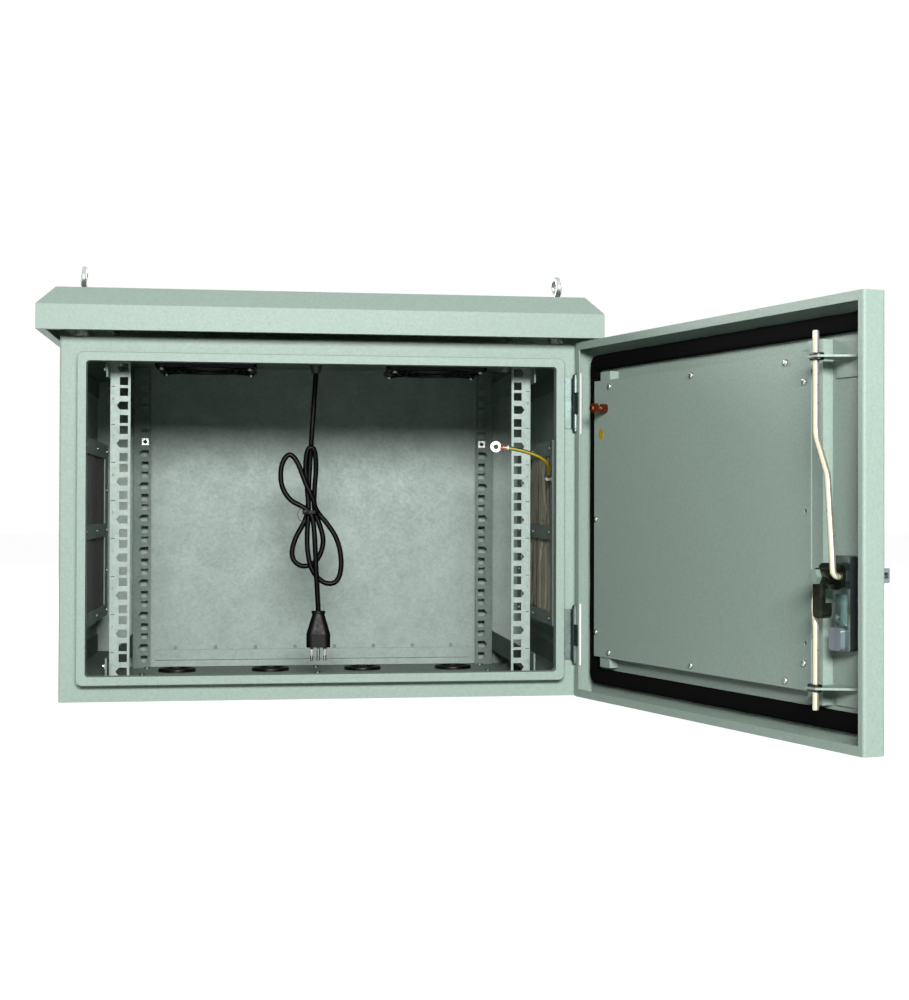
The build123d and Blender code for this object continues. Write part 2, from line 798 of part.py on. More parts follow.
def make_cord():
    box = block(cord_x - jbox_w / 2, cord_x + jbox_w / 2, cord_y - jbox_d / 2, cord_y + jbox_d / 2,
                ceiling_z - jbox_h, ceiling_z)
    nodes["fan_wiring_box"] = fillet(box.edges().filter_by(Axis.Z), 3)
    top = ceiling_z - jbox_h
    tube_low = gland_tube_z0
    body = hexagon_z(2 * gland_tube_r, cord_x, cord_y, top - gland_hex_h, top)
    body += Pos(cord_x, cord_y, tube_low) * Cone(cord_r + 2.2, gland_tube_r - 0.3, gland_tube_h,
                                                align=(Align.CENTER, Align.CENTER, Align.MIN))
    nodes["cord_gland"] = body
    drop = [(cord_x, cord_y, tube_low), (cord_x - 2.8, cord_y - 1.2, 345.0),
            (cord_x - 5.8, cord_y, hank_z1)]
    nodes["power_cord_drop"] = tube(drop, cord_r, "drop")
    outline = [(-20, hank_z1), (-3.5, hank_z1), (-1.5, 286), (-4, 262), (-5, 232), (-4, 220),
               (-4, 213), (8, 200), (22, 186), (28.5, 160), (24.5, 136), (14, hank_z0),
               (-9, hank_z0), (-14, 147), (-24, 146.5), (-36, 158), (-35.5, 168), (-31, 188),
               (-20, 208), (-19.6, 220), (-27, 229), (-40, 234), (-50, 254), (-50, 274),
               (-41, 288), (-33, 286), (-27, 276), (-24, 282)]
    nodes["power_cord_hank"] = prism_y(outline, cord_y - hank_half_t, cord_y + hank_half_t)
    z0, z1 = tie_z - tie_h / 2, tie_z + tie_h / 2
    x0, x1 = -20.2 - tie_gap, -3.4 + tie_gap
    y0, y1 = cord_y - hank_half_t - tie_gap, cord_y + hank_half_t + tie_gap
    band = block(x0 - tie_t, x1 + tie_t, y0 - tie_t, y1 + tie_t, z0, z1)
    band -= block(x0, x1, y0, y1, z0 - 1, z1 + 1)
    band += block(x0 - tie_t - 1, x0 + 5, y0 - tie_t - 3.6, y0 - tie_t + 0.2, z0 - 1, z1 + 1)
    band += Pos(x0 - 1, y0 - tie_t - 2.6, tie_z) * Rot(0, 25, 0) * Pos(-7, 0, 0) * Box(16, tie_t, 3.4)
    nodes["cable_tie"] = band
    tail = [(tail_x, cord_y, hank_z0), (tail_x + 1.4, cord_y - 0.8, 111.0), (plug_x, cord_y, plug_top_z)]
    nodes["power_cord_tail"] = tube(tail, cord_r, "tail")
    collar = rod_z(plug_collar_r, plug_x, cord_y, plug_top_z - 3.5, plug_top_z)
    shoulder_z = plug_low_z + 17
    a = Pos(plug_x, cord_y, plug_top_z - 3.5) * RectangleRounded(15, 14, 6.5)
    b = Pos(plug_x, cord_y, shoulder_z) * RectangleRounded(plug_w, plug_d, 8)
    c = Pos(plug_x, cord_y, plug_low_z) * RectangleRounded(plug_w, plug_d, 8)
    plug = collar + loft([a, b]) + loft([b, c])
    nodes["plug_body"] = plug
    pins = []
    for i in (-1, 0, 1):
        pin = rod_z(pin_r, plug_x + i * pin_pitch, cord_y, plug_low_z - pin_long, plug_low_z)
        pins.append(fillet(pin.edges().group_by(Axis.Z)[0], 0.9))
    nodes["plug_pins"] = solids_of(pins)


make_cord()


# Earth wire: from a stud on the right filter plate, forward and round the front of the rail it
# leans on, to an open ring lug. The cage nuts in the rear rails follow.

def make_earth():
    lead_y = front_rail_y - wire_r - 0.8
    tip = Vector(lug_x + 13.5, lead_y, lug_z - 1.0)
    away = Vector(10, 0, -1).normalized()
    lug = rod_y(lug_r, lug_x, lug_z, lead_y - lug_t / 2, lead_y + lug_t / 2)
    lug += block(lug_x + lug_r - 2, tip.X - lug_barrel + 0.7, lead_y - lug_t / 2, lead_y + lug_t / 2,
                 tip.Z - 2.0, tip.Z + 2.6)
    lug -= rod_y(lug_bore_r, lug_x, lug_z, lead_y - lug_t, lead_y + lug_t)
    lug += Plane(origin=tip - away * lug_barrel, z_dir=away) * Pos(0, 0, lug_barrel / 2) * Cylinder(
        wire_r + 0.6, lug_barrel)
    nodes["earth_lug"] = lug
    face = plate_x
    stud_y = wall_stud_y
    seat = Vector(face - 3.2, stud_y, wall_stud_z)
    end = Vector(face - 3.7, stud_y - 8.6, wall_stud_z + 6.8)
    route = [(tip.X, tip.Y, tip.Z), (229.0, lead_y, 294.0), (247.4, lead_y - 0.2, 289.3),
             (259.6, lead_y + 2.2, 284.7), (267.6, lead_y + 9.2, 279.4), (272.6, lead_y + 19.2, 273.3),
             (end.X - 0.9, end.Y - 5.7, end.Z + 4.0), (end.X, end.Y, end.Z)]
    nodes["earth_wire"] = tube(route, wire_r, "earth wire")
    stud = rod_x(1.95, stud_y, wall_stud_z, face - 7.5, face + sheet - 0.2)
    stud += hexagon_x(8.0, stud_y, wall_stud_z, face - 6.4, face - 3.4)
    nodes["wall_stud"] = stud
    ring = rod_x(stud_lug_r, stud_y, wall_stud_z, face - 3.4, face - 0.02)
    ring -= rod_x(1.97, stud_y, wall_stud_z, face - 5, face + 1)
    reach = (seat - end).normalized()
    length = (seat - end).length - 3.5
    sleeve = Plane(origin=end, z_dir=reach) * Pos(0, 0, length / 2) * Cylinder(wire_r + 0.6, length)
    sleeve -= rod_x(4.8, stud_y, wall_stud_z, face - 8, face - 3.4)
    sleeve = sleeve & block(face - 8, face - 0.02, stud_y - 15, stud_y + 10, wall_stud_z - 10,
                            wall_stud_z + 20)
    sleeve -= rod_x(1.97, stud_y, wall_stud_z, face - 9, face + 1)
    nodes["stud_lug"] = ring + sleeve
    nut_y = rear_rail_y + rail_t
    cages = []
    for side in (-1, 1):
        xc = side * hole_cols / 2
        z = rail_unit_z0 + 6 * unit + hole_offsets[2]
        cage = block(xc - 6.5, xc + 6.5, nut_y, nut_y + 6.5, z - 6.2, z + 6.2)
        cage += block(xc - hole_side / 2 + 0.2, xc + hole_side / 2 - 0.2, rear_rail_y + 0.2, nut_y + 1,
                      z - hole_side / 2 + 0.2, z + hole_side / 2 - 0.2)
        cage -= rod_y(2.6, xc, z, rear_rail_y - 2, nut_y + 9)
        cages.append(cage)
    nodes["cage_nuts"] = solids_of(cages)


make_earth()


# Hinges: leaf and outer knuckles on the body, middle knuckle and leaf on the door, one pin each.

def make_hinges():
    body_leaves, door_leaves, pins = [], [], []
    for z0, z1, z2, z3 in hinge_sets:
        bore = rod_z(hinge_pin_r, hinge_x, hinge_y, z0 - 9, z3 + 9)
        leaf = block(hinge_x - leaf_body_w, hinge_x, front_y - leaf_body_t, front_y, z0, z3)
        ears = None
        for a, b in ((z0, z1 - knuckle_gap), (z2 + knuckle_gap, z3)):
            ear = rod_z(knuckle_r, hinge_x, hinge_y, a, b)
            ear += block(hinge_x - 1.2, hinge_x + knuckle_r, hinge_y, front_y, a, b) & rod_z(
                hypot(knuckle_r, 6.0), hinge_x, hinge_y, a, b)
            ears = ear if ears is None else ears + ear
        leaf = leaf + ears
        leaf -= bore
        leaf -= rod_z(knuckle_r + 0.5, hinge_x, hinge_y, z1 - knuckle_gap, z2 + knuckle_gap)
        body_leaves.append(leaf)
        s_in = lip_hinge - 1.0
        mid = rod_z(knuckle_r, hinge_x, hinge_y, z1, z2)
        strap = on_door(0.5, s_in, door_t, door_t + leaf_door_t, z1, z2)
        mid = mid + strap
        mid -= rod_z(hinge_pin_r + hinge_run, hinge_x, hinge_y, z1 - 1, z2 + 1)
        door_leaves.append(mid)
        pin = rod_z(hinge_pin_r, hinge_x, hinge_y, z0 - 0.5, z3 + 0.5)
        pin += rod_z(pin_head_r, hinge_x, hinge_y, z0 - pin_over, z0)
        pin += rod_z(pin_head_r, hinge_x, hinge_y, z3, z3 + pin_over)
        tops = pin.edges().filter_by(GeomType.CIRCLE).group_by(Axis.Z)
        pin = fillet(tops[0] + tops[-1], 1.2)
        pins.append(pin)
    nodes["hinge_body_leaves"] = solids_of(body_leaves)
    nodes["hinge_pins"] = solids_of(pins)
    swung["hinge_door_leaves"] = solids_of(door_leaves)


make_hinges()


# Door pan: skin, four side flanges and return lips, notched where the hinges stand.

def make_door_pan():
    pan = on_door(0, door_w, 0, door_t, door_z0, door_z1)
    pan = fillet(pan.edges().filter_by(Axis.Z), door_corner_r)
    hollow = on_door(sheet, door_w - sheet, sheet, door_t - sheet, door_z0 + sheet, door_z1 - sheet)
    mouth = on_door(lip_hinge, door_w - lip_free, sheet, door_t + 1, door_z0 + lip_end,
                    door_z1 - lip_end)
    pan -= hollow
    pan -= mouth
    for z0, z1, z2, z3 in hinge_sets:
        pan -= on_door(-1, 5.2, 14.5, door_t + 1, z0 - pin_over - 1.5, z3 + pin_over + 1.5)
    pan -= door_rod(spindle_r + 1.5, lock_s, lock_z, -1, sheet + 1)
    pan -= door_rod(cyl_r + 0.5, lock_s, cyl_z, -1, sheet + 1)
    return pan


swung["door_pan"] = make_door_pan()


def make_door_fittings():
    ring = on_door(foam_s0 - foam_w, foam_s1 + foam_w, sheet, foam_n1, foam_z0 - foam_w,
                   foam_z1 + foam_w)
    ring = fillet(ring.edges().filter_by(Axis.Y), 6)
    ring -= on_door(foam_s0, foam_s1, 0, foam_n1 + 1, foam_z0, foam_z1)
    swung["door_gasket"] = ring
    channels = []
    for a, b in (stiff_left, stiff_right):
        ch = on_door(a, b, sheet, stiff_n, stiff_z0, stiff_z1)
        ch -= on_door(a + stiff_t, b - stiff_t, sheet - 1, stiff_n - stiff_t, stiff_z0 - 1, stiff_z1 + 1)
        channels.append(ch)
    swung["door_stiffeners"] = solids_of(channels)
    cover = on_door(cover_s0, cover_s1, cover_n1 - cover_edge, cover_n1, cover_z0, cover_z1)
    cover -= on_door(cover_s0 + cover_t, cover_s1 - cover_t, 0, cover_n1 - cover_t,
                     cover_z0 + cover_t, cover_z1 - cover_t)
    for a, b in (stiff_left, stiff_right):
        cover -= on_door(a - 0.3, b + 0.3, 0, stiff_n, cover_z0 - 1, cover_z1 + 1)
    for s, z in cover_screws + cover_holes:
        cover -= door_rod(cover_hole_r, s, z, stiff_n - 1, cover_n1 + 1)
    cover -= door_rod(stud_r + 0.05, stud_s, stud_z, 0, cover_n1 + 1)
    swung["inner_cover"] = cover
    screws = []
    for s, z in cover_screws:
        head = door_rod(cover_screw_r, s, z, cover_n1, cover_n1 + cover_screw_h)
        head = fillet(head.edges().group_by(Axis.Y)[-1], 1.1)
        head += door_rod(cover_hole_r - 0.1, s, z, stiff_n, cover_n1 + 0.5)
        screws.append(head)
    swung["cover_screws"] = solids_of(screws)
    stud = door_rod(stud_r, stud_s, stud_z, stiff_n, cover_n1 + stud_long)
    stud += door_rod(5.2, stud_s, stud_z, cover_n1, cover_n1 + 2)
    swung["earth_stud"] = stud
    nut0 = cover_n1 + stud_long - 8
    nuts = []
    for n0, n1, af in ((cover_n1 + 2, cover_n1 + 6.5, 10.0), (nut0, nut0 + 5, 11.0)):
        nut = hexagon_y(af, door_x(stud_s), stud_z, door_y(n0), door_y(n1))
        nuts.append(nut - door_rod(stud_r + 0.05, stud_s, stud_z, n0 - 1, n1 + 1))
    swung["earth_nuts"] = solids_of(nuts)
    swung["marker_disc"] = door_rod(disc_r, disc_s, disc_z, cover_n1, cover_n1 + disc_t)


make_door_fittings()


# Rod guides: a gusset plate on the skin with a black slotted bush for the rod.

def make_guides():
    plates, bushes = [], []
    for z, play in zip(guide_z, guide_play):
        sc = rod_s + play
        flat = [(guide_s0 + 6, sheet), (guide_s1, sheet), (guide_s1, 5.0),
                (sc + bush_half_slot + bush_wall + 1, guide_n1),
                (sc - bush_half_slot - bush_wall - 1, guide_n1),
                (guide_s0 + 6, 14.0)]
        pts = [(door_x(s), door_y(n)) for s, n in flat]
        web = prism_z(pts, z - guide_t / 2, z + guide_t / 2)
        foot = on_door(guide_s0 + 6, guide_s1, sheet, sheet + guide_t, z - guide_foot, z + guide_t / 2)
        plate = web + foot
        face = RectangleRounded(2 * (bush_half_slot + 1), 2 * (bush_half_w + 1), bush_half_w + 0.99)
        hole = Pos(door_x(sc), door_y(rod_n), z) * face
        plate -= extrude(hole, amount=5, dir=(0, 0, 1), both=True)
        plates.append(plate)
        outer = RectangleRounded(2 * (bush_half_slot + bush_wall), 2 * (bush_half_w + bush_wall),
                                 bush_half_w + bush_wall - 0.01)
        neck = RectangleRounded(2 * (bush_half_slot + 0.95), 2 * (bush_half_w + 0.95), bush_half_w + 0.94)
        slot = RectangleRounded(2 * bush_half_slot, 2 * bush_half_w, bush_half_w - 0.01)
        at = Pos(door_x(sc), door_y(rod_n), z)
        side = (bush_h - guide_t) / 2
        up = extrude(at * Pos(0, 0, guide_t / 2) * outer, amount=side, dir=(0, 0, 1))
        dn = extrude(at * Pos(0, 0, -guide_t / 2) * outer, amount=side, dir=(0, 0, -1))
        up = fillet(up.edges().group_by(Axis.Z)[-1], 1.2)
        dn = fillet(dn.edges().group_by(Axis.Z)[0], 1.2)
        core = extrude(at * neck, amount=guide_t, dir=(0, 0, 1), both=True)
        bush = up + dn + core
        bush -= extrude(at * slot, amount=bush_h, dir=(0, 0, 1), both=True)
        bushes.append(bush)
    swung["rod_guides"] = solids_of(plates)
    swung["rod_bushes"] = solids_of(bushes)


make_guides()


# Lock housing behind the skin, with the key cylinder and one screw, and the outside base.

def make_housing():
    house = on_door(lock_s - house_half_w, lock_s + house_half_w, sheet, house_n1, house_z0, house_z1)
    house = fillet(house.edges().filter_by(Axis.Y), 3)
    house -= on_door(lock_s - pocket_half_w, lock_s + pocket_half_w, pocket_n0, house_n1 + 1,
                     pocket_z0, pocket_z1)
    house -= door_rod(spindle_r + spindle_run, lock_s, lock_z, 0, house_n1 + 1)
    house -= door_rod(cyl_r + 0.1, lock_s, cyl_z, 0, house_n1 - 3)
    swung["lock_housing"] = house
    cap = on_door(lock_s - house_half_w + 1, lock_s + 6, house_n1, house_n1 + 5, house_z0 + 0.5,
                  pocket_z0 - 2)
    swung["cylinder_cap"] = fillet(cap.edges().filter_by(Axis.Y), 4)
    screw = door_rod(3.6, lock_s + 1, pocket_z0 + 6, pocket_n0, pocket_n0 + 3)
    swung["housing_screw"] = fillet(screw.edges().group_by(Axis.Y)[-1], 1.4)
    base = on_door(lock_s - base_half_w, lock_s + base_half_w, -base_h, 0, base_z0, base_z1)
    base = fillet(base.edges().filter_by(Axis.Y), 8)
    base = fillet(base.faces().sort_by(Axis.Y)[0].edges(), 2.5)
    base -= door_rod(spindle_r + spindle_run, lock_s, lock_z, -base_h - 1, 1)
    base -= door_rod(cyl_r + 0.1, lock_s, cyl_z, -base_h - 1, 1)
    swung["handle_base"] = base
    cyl = door_rod(cyl_r, lock_s, cyl_z, -base_h + 0.6, house_n1 - 3)
    cyl -= on_door(lock_s - 0.6, lock_s + 0.6, -base_h - 1, -base_h + 5, cyl_z - 3.2, cyl_z + 3.2)
    swung["key_cylinder"] = cyl


make_housing()


# Turning parts of the lock: spindle with the handle's hub, cam plate, tongue and end bolt.

def make_lock():
    shaft = door_rod(spindle_r, lock_s, lock_z, -base_h, cam_n0)
    shaft += door_rod(journal_r, lock_s, lock_z, cam_n0 - 0.5, tongue_n1 - 0.3)
    hub = door_rod(hub_r, lock_s, lock_z, -hub_top, -base_h - 0.3)
    ear = on_door(lock_s - ear_r, lock_s + ear_r, -lever_axis_h, -hub_top + 1,
                  lock_z - hub_tongue_half, lock_z + hub_tongue_half)
    ear += rod_z(ear_r, door_x(lock_s), door_y(-lever_axis_h), lock_z - hub_tongue_half,
                 lock_z + hub_tongue_half)
    shaft = shaft + door_rod(spindle_r, lock_s, lock_z, -base_h - 1, -base_h + 1) + hub + ear
    shaft -= rod_z(lever_pin_r + lever_run, door_x(lock_s), door_y(-lever_axis_h), lock_z - 9,
                   lock_z + 9)
    shaft -= door_rod(cam_bolt_r, lock_s, lock_z, cam_n0 + 2, tongue_n1 + 1)
    swung["lock_spindle"] = shaft
    cam = on_door(lock_s - cam_half_w, lock_s + cam_half_w, cam_n0, cam_n1, lock_z - cam_half_h,
                  lock_z + cam_half_h)
    cam = fillet(cam.edges().filter_by(Axis.Y), 9)
    cam -= door_rod(journal_r + 0.02, lock_s, lock_z, cam_n0 - 1, cam_n1 + 1)
    for ds in (-cam_r, cam_r):
        cam -= door_rod(rod_r + rod_run, lock_s + ds, lock_z, cam_n0 - 1, cam_n1 + 1)
    swung["cam_plate"] = cam
    tongue = door_rod(sleeve_r, lock_s, lock_z, cam_n1, tongue_n1)
    tongue += on_door(lock_s - tongue_half_w, lock_s + tongue_half_w, tongue_n0, tongue_n1,
                      lock_z - tongue_len, lock_z)
    lug = on_door(lock_s - tongue_half_w, lock_s + tongue_half_w, rod_n - rod_r, tongue_n1,
                  lock_z - tongue_len, lock_z - tongue_root)
    lug = fillet(lug.edges().filter_by(Axis.Y).group_by(Axis.Z)[0], 5)
    tongue = tongue - on_door(lock_s - 9, lock_s + 9, tongue_n0 - 1, tongue_n1 + 1,
                              lock_z - tongue_len - 1, lock_z - tongue_root) + lug
    tongue -= door_rod(journal_r + 0.02, lock_s, lock_z, cam_n1 - 1, tongue_n1 + 1)
    swung["lock_tongue"] = tongue
    x, y = door_x(lock_s), door_y(tongue_n1)
    bolt = hexagon_y(cam_bolt_af, x, lock_z, y, y + cam_bolt_h)
    bolt += rod_y(cam_bolt_r - 0.02, x, lock_z, door_y(cam_n0 + 3), y + 1)
    swung["cam_bolt"] = bolt


make_lock()


# Rods: a hooked end in the cam plate, one bend or a small joggle, then straight through a guide.

def make_rod(points, hook_s, name):
    n = rod_n
    pts = [(door_x(hook_s), door_y(cam_n0 - 1.6), lock_z), (door_x(hook_s), door_y(n), lock_z)]
    pts += [(door_x(s), door_y(n), z) for s, z in points]
    radii = [hook_r] + [min(24.0, 0.4 * min(
        hypot(points[i][0] - (points[i - 1][0] if i else hook_s),
              points[i][1] - (points[i - 1][1] if i else lock_z)),
        hypot(points[i + 1][0] - points[i][0], points[i + 1][1] - points[i][1])) / tan(max(0.02, abs(
            turn_at(points, i, hook_s)) / 2))) for i in range(len(points) - 1)]
    path = FilletPolyline(*pts, radius=radii)
    start = Plane(origin=path @ 0, z_dir=path % 0)
    rod = sweep(start * Circle(rod_r), path=path)
    tip = rod.faces().sort_by(Axis.Z)[-1 if points[-1][1] > lock_z else 0]
    rod = fillet(tip.edges(), 1.3)
    print(name, "volume over section times length",
          round(rod.volume / (pi * rod_r ** 2 * path.length), 4))
    return rod


def turn_at(points, i, hook_s):
    a = points[i - 1] if i else (hook_s, lock_z)
    b, c = points[i], points[i + 1]
    u = Vector(b[0] - a[0], b[1] - a[1], 0)
    v = Vector(c[0] - b[0], c[1] - b[1], 0)
    return radians(u.get_angle(v))


upper_route = [(lock_s + cam_r - 1.4, lock_z + 19.2), (lock_s + 5.0, guide_z[0] - 109.0),
               (rod_s, guide_z[0] - 72.0), (rod_s, rod_top_z)]
lower_route = [(rod_s - 0.6, lock_z - 16.8), (rod_s - 3.0, lock_z - 26.8), (rod_s, lock_z - 47.8),
               (rod_s, rod_low_z)]
swung["upper_rod"] = make_rod(upper_route, lock_s + cam_r, "upper rod")
swung["lower_rod"] = make_rod(lower_route, lock_s - cam_r, "lower rod")


# Handle lever: folds down against the base; forked at the hub and drilled for the key.

def make_lever():
    flat = [(-7.5, lever_floor), (-7.5, 30.0), (-4.0, lever_top), (16.0, lever_top),
            (lever_long - 30, 29.0),
            (lever_long - 6, 25.0), (lever_long, 20.5), (lever_long, 15.5), (lever_long - 3, 13.2),
            (40.0, 13.2), (16.0, lever_floor)]
    pts = [(door_x(lock_s - d), door_y(-h)) for d, h in flat]
    lever = prism_z(pts, lock_z - lever_half_w, lock_z + lever_half_w)
    crown = [e for e in lever.edges().filter_by(Axis.X) if abs(e.center().Y - door_y(-lever_top)) < 0.01]
    lever = fillet(crown, lever_crown_r)
    slot = on_door(lock_s - 9.6, lock_s + 9, -lever_axis_h - ear_r - fork_gap, -lever_floor + 1,
                   lock_z - hub_tongue_half - fork_gap, lock_z + hub_tongue_half + fork_gap)
    lever -= slot
    lever -= rod_z(lever_pin_r, door_x(lock_s), door_y(-lever_axis_h), lock_z - 20, lock_z + 20)
    reach = lock_z - cyl_z
    lever -= rod_y(cyl_r - 0.3, door_x(lock_s - reach), lock_z, door_y(-50), door_y(0))
    swung["handle_lever"] = lever
    pin = rod_z(lever_pin_r, door_x(lock_s), door_y(-lever_axis_h), lock_z - lever_half_w,
                lock_z + lever_half_w)
    swung["lever_pin"] = pin


make_lever()


# Swing the door and everything on it to the open pose, then write one file for each piece.

def join(target, *names):
    """Small pieces of one kind, on one body, share a file as separate solids."""
    for table in (nodes, swung):
        if names[0] in table:
            table[target] = solids_of([table.pop(name) for name in names])


join("rivets", "back_rivets", "filter_rivets")
join("body_nuts", "eye_nuts", "rail_nuts")
join("body_screws", "gland_screws", "fan_screws")
join("earth_lugs", "earth_lug", "stud_lug")
join("back_strip_and_gussets", "back_strip", "corner_gussets")
join("door_screws", "cover_screws", "housing_screw")
join("door_earth_stud", "earth_stud", "earth_nuts")
join("lock_cylinder", "key_cylinder", "cylinder_cap")
join("lever_with_pin", "handle_lever", "lever_pin")

hinge_axis = Axis((hinge_x, hinge_y, 0), (0, 0, 1))
for name, shape in swung.items():
    nodes[name] = shape.rotate(hinge_axis, open_angle)


def world(s, n, z):
    a = radians(open_angle)
    x, y = door_x(s) - hinge_x, door_y(n) - hinge_y
    return tuple(round(v / 1000, 6) for v in (hinge_x + x * cos(a) - y * sin(a),
                                             hinge_y + x * sin(a) + y * cos(a), z))


print("lock axis", world(lock_s, 0, lock_z), "upper pin", world(lock_s + cam_r, rod_n, lock_z),
      "lower pin", world(lock_s - cam_r, rod_n, lock_z),
      "lever axis", world(lock_s, -lever_axis_h, lock_z))
print("door normal", round(-sin(radians(open_angle)), 6), round(cos(radians(open_angle)), 6))

for name, shape in nodes.items():
    count = len(shape.solids())
    print(name, count, "solids", round(shape.volume / 1000, 2), "cm3")
    export_step(shape, "parts/" + name + ".step")
print(len(nodes), "nodes")
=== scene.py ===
from math import cos, pi, radians, sin

import bmesh
import bpy
from mathutils import Matrix, Vector, noise as sponge


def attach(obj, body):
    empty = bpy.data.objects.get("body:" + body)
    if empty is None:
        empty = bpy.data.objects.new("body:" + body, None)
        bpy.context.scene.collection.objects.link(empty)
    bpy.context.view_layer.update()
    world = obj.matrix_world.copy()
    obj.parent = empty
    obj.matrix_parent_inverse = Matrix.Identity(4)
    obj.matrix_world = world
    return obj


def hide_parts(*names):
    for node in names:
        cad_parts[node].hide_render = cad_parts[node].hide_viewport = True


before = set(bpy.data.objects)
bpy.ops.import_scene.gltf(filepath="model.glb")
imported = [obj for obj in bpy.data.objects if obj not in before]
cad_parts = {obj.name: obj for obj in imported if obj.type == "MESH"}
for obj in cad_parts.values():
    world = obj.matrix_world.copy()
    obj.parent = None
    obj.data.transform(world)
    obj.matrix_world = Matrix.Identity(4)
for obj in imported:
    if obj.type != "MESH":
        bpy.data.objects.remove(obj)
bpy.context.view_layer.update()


# Helpers for every section. Lengths are in metres, except where a function says millimetres.

def from_mm(points):
    return [(x / 1000, y / 1000, z / 1000) for x, y, z in points]


def turned(degrees, axis):
    return Matrix.Rotation(radians(degrees), 4, axis)


def placed(name, data):
    """A new object in the scene that holds the given data."""
    item = bpy.data.objects.new(name, data)
    bpy.context.scene.collection.objects.link(item)
    return item


def as_mesh(shape, name):
    """The bmesh as a new mesh; the bmesh itself is freed."""
    mesh = bpy.data.meshes.new(name)
    shape.to_mesh(mesh)
    shape.free()
    return mesh


def evaluated_mesh(piece):
    return bpy.data.meshes.new_from_object(
        piece.evaluated_get(bpy.context.evaluated_depsgraph_get()))


# The viewpoint: a level view from in front and a little to the left, through a long lens that
# is shifted sideways, so the cabinet stands left of the middle and its open door right of it.

heading, rise, tilt = radians(9.22), radians(0.67), radians(0.12)
ahead = Vector((sin(heading) * cos(rise), cos(heading) * cos(rise), sin(rise)))
level = ahead.cross(Vector((0, 0, 1))).normalized()
upright = level.cross(ahead)
across = cos(tilt) * level + sin(tilt) * upright
above = cos(tilt) * upright - sin(tilt) * level
camera = placed("camera", bpy.data.cameras.new("camera"))
camera.data.lens = 64.788
camera.data.sensor_width = 36.0
camera.data.shift_x = -0.10575
camera.data.shift_y = -0.01072
camera.data.clip_end = 60
camera_place = (-0.06561, -2.33279, 0.21939)
camera.matrix_world = Matrix.Translation(camera_place) @ Matrix(
    (across, above, -ahead)).transposed().to_4x4()
bpy.context.scene.camera = camera


# The power cord: a round black PVC lead from the gland on the ceiling. It drops, is folded into
# a loose hank of four loops that one tie holds, and goes on straight down to the plug.

def laid_cord(name, points, radius):
    """A round cord, as one smooth line that starts and ends at the outer points."""
    curve = bpy.data.curves.new(name, "CURVE")
    curve.dimensions = "3D"
    curve.bevel_depth = radius
    curve.bevel_resolution = 5
    curve.resolution_u = 14
    curve.use_fill_caps = True
    spline = curve.splines.new("NURBS")
    spline.points.add(len(points) - 1)
    for point, place in zip(spline.points, points):
        point.co = (*place, 1)
    spline.order_u = 3
    spline.use_endpoint_u = True
    return placed(name, curve)


def rgb(red, green, blue):
    """A colour given as 0 to 255, in the linear values that a shader wants (the sRGB curve)."""
    return (*[(c / 255 / 12.92) if c < 10 else ((c / 255 + 0.055) / 1.055) ** 2.4
              for c in (red, green, blue)], 1.0)


def new_finish(name):
    """A new material: itself, its nodes and links, its shader, and the place on the object."""
    finish = bpy.data.materials.new(name)
    finish.use_nodes = True
    tree = finish.node_tree
    place = tree.nodes.new("ShaderNodeTexCoord")
    return finish, tree.nodes, tree.links, tree.nodes["Principled BSDF"], place.outputs["Object"]


def noise(nodes, links, place, scale, detail=3.0, rough=0.55):
    grain = nodes.new("ShaderNodeTexNoise")
    grain.inputs["Scale"].default_value = scale
    grain.inputs["Detail"].default_value = detail
    grain.inputs["Roughness"].default_value = rough
    links.new(place, grain.inputs["Vector"])
    return grain.outputs["Fac"]


def ramp(nodes, links, value, stops):
    """A colour that follows the value through stops, each a place from 0 to 1 and a colour."""
    scale = nodes.new("ShaderNodeValToRGB")
    marks = scale.color_ramp.elements
    while len(marks) < len(stops):
        marks.new(0.5)
    for mark, (at, colour) in zip(marks, stops):
        mark.position = at
        mark.color = colour
    links.new(value, scale.inputs["Fac"])
    return scale.outputs["Color"]


def two_tone(nodes, links, value, colour, low, high):
    """A mottle between two depths of a colour, each given as a multiple of it."""
    return ramp(nodes, links, value, [(0.3, rgb(*[c * low for c in colour])),
                                      (0.7, rgb(*[c * high for c in colour]))])


def mixed(nodes, links, share, first, second, blend="MIX"):
    """Two colours mixed by a share. Each of the three is a value or another node's output."""
    mix = nodes.new("ShaderNodeMix")
    mix.data_type = "RGBA"
    mix.blend_type = blend
    for socket, given in ((0, share), (6, first), (7, second)):
        if isinstance(given, bpy.types.NodeSocket):
            links.new(given, mix.inputs[socket])
        else:
            mix.inputs[socket].default_value = given
    return mix.outputs[2]


def spread(nodes, links, value, low, high, start=0.3, end=0.7):
    """A value that goes from low to high as the given one goes from start to end."""
    band = nodes.new("ShaderNodeMapRange")
    band.inputs["From Min"].default_value = start
    band.inputs["From Max"].default_value = end
    band.inputs["To Min"].default_value = low
    band.inputs["To Max"].default_value = high
    links.new(value, band.inputs["Value"])
    return band.outputs["Result"]


def relief(nodes, links, value, shader, strength, distance, under=None):
    """Bumps that follow the value, on top of an earlier relief where one is given."""
    bump = nodes.new("ShaderNodeBump")
    bump.inputs["Strength"].default_value = strength
    bump.inputs["Distance"].default_value = distance
    links.new(value, bump.inputs["Height"])
    if under is not None:
        links.new(under, bump.inputs["Normal"])
    links.new(bump.outputs["Normal"], shader.inputs["Normal"])
    return bump.outputs["Normal"]


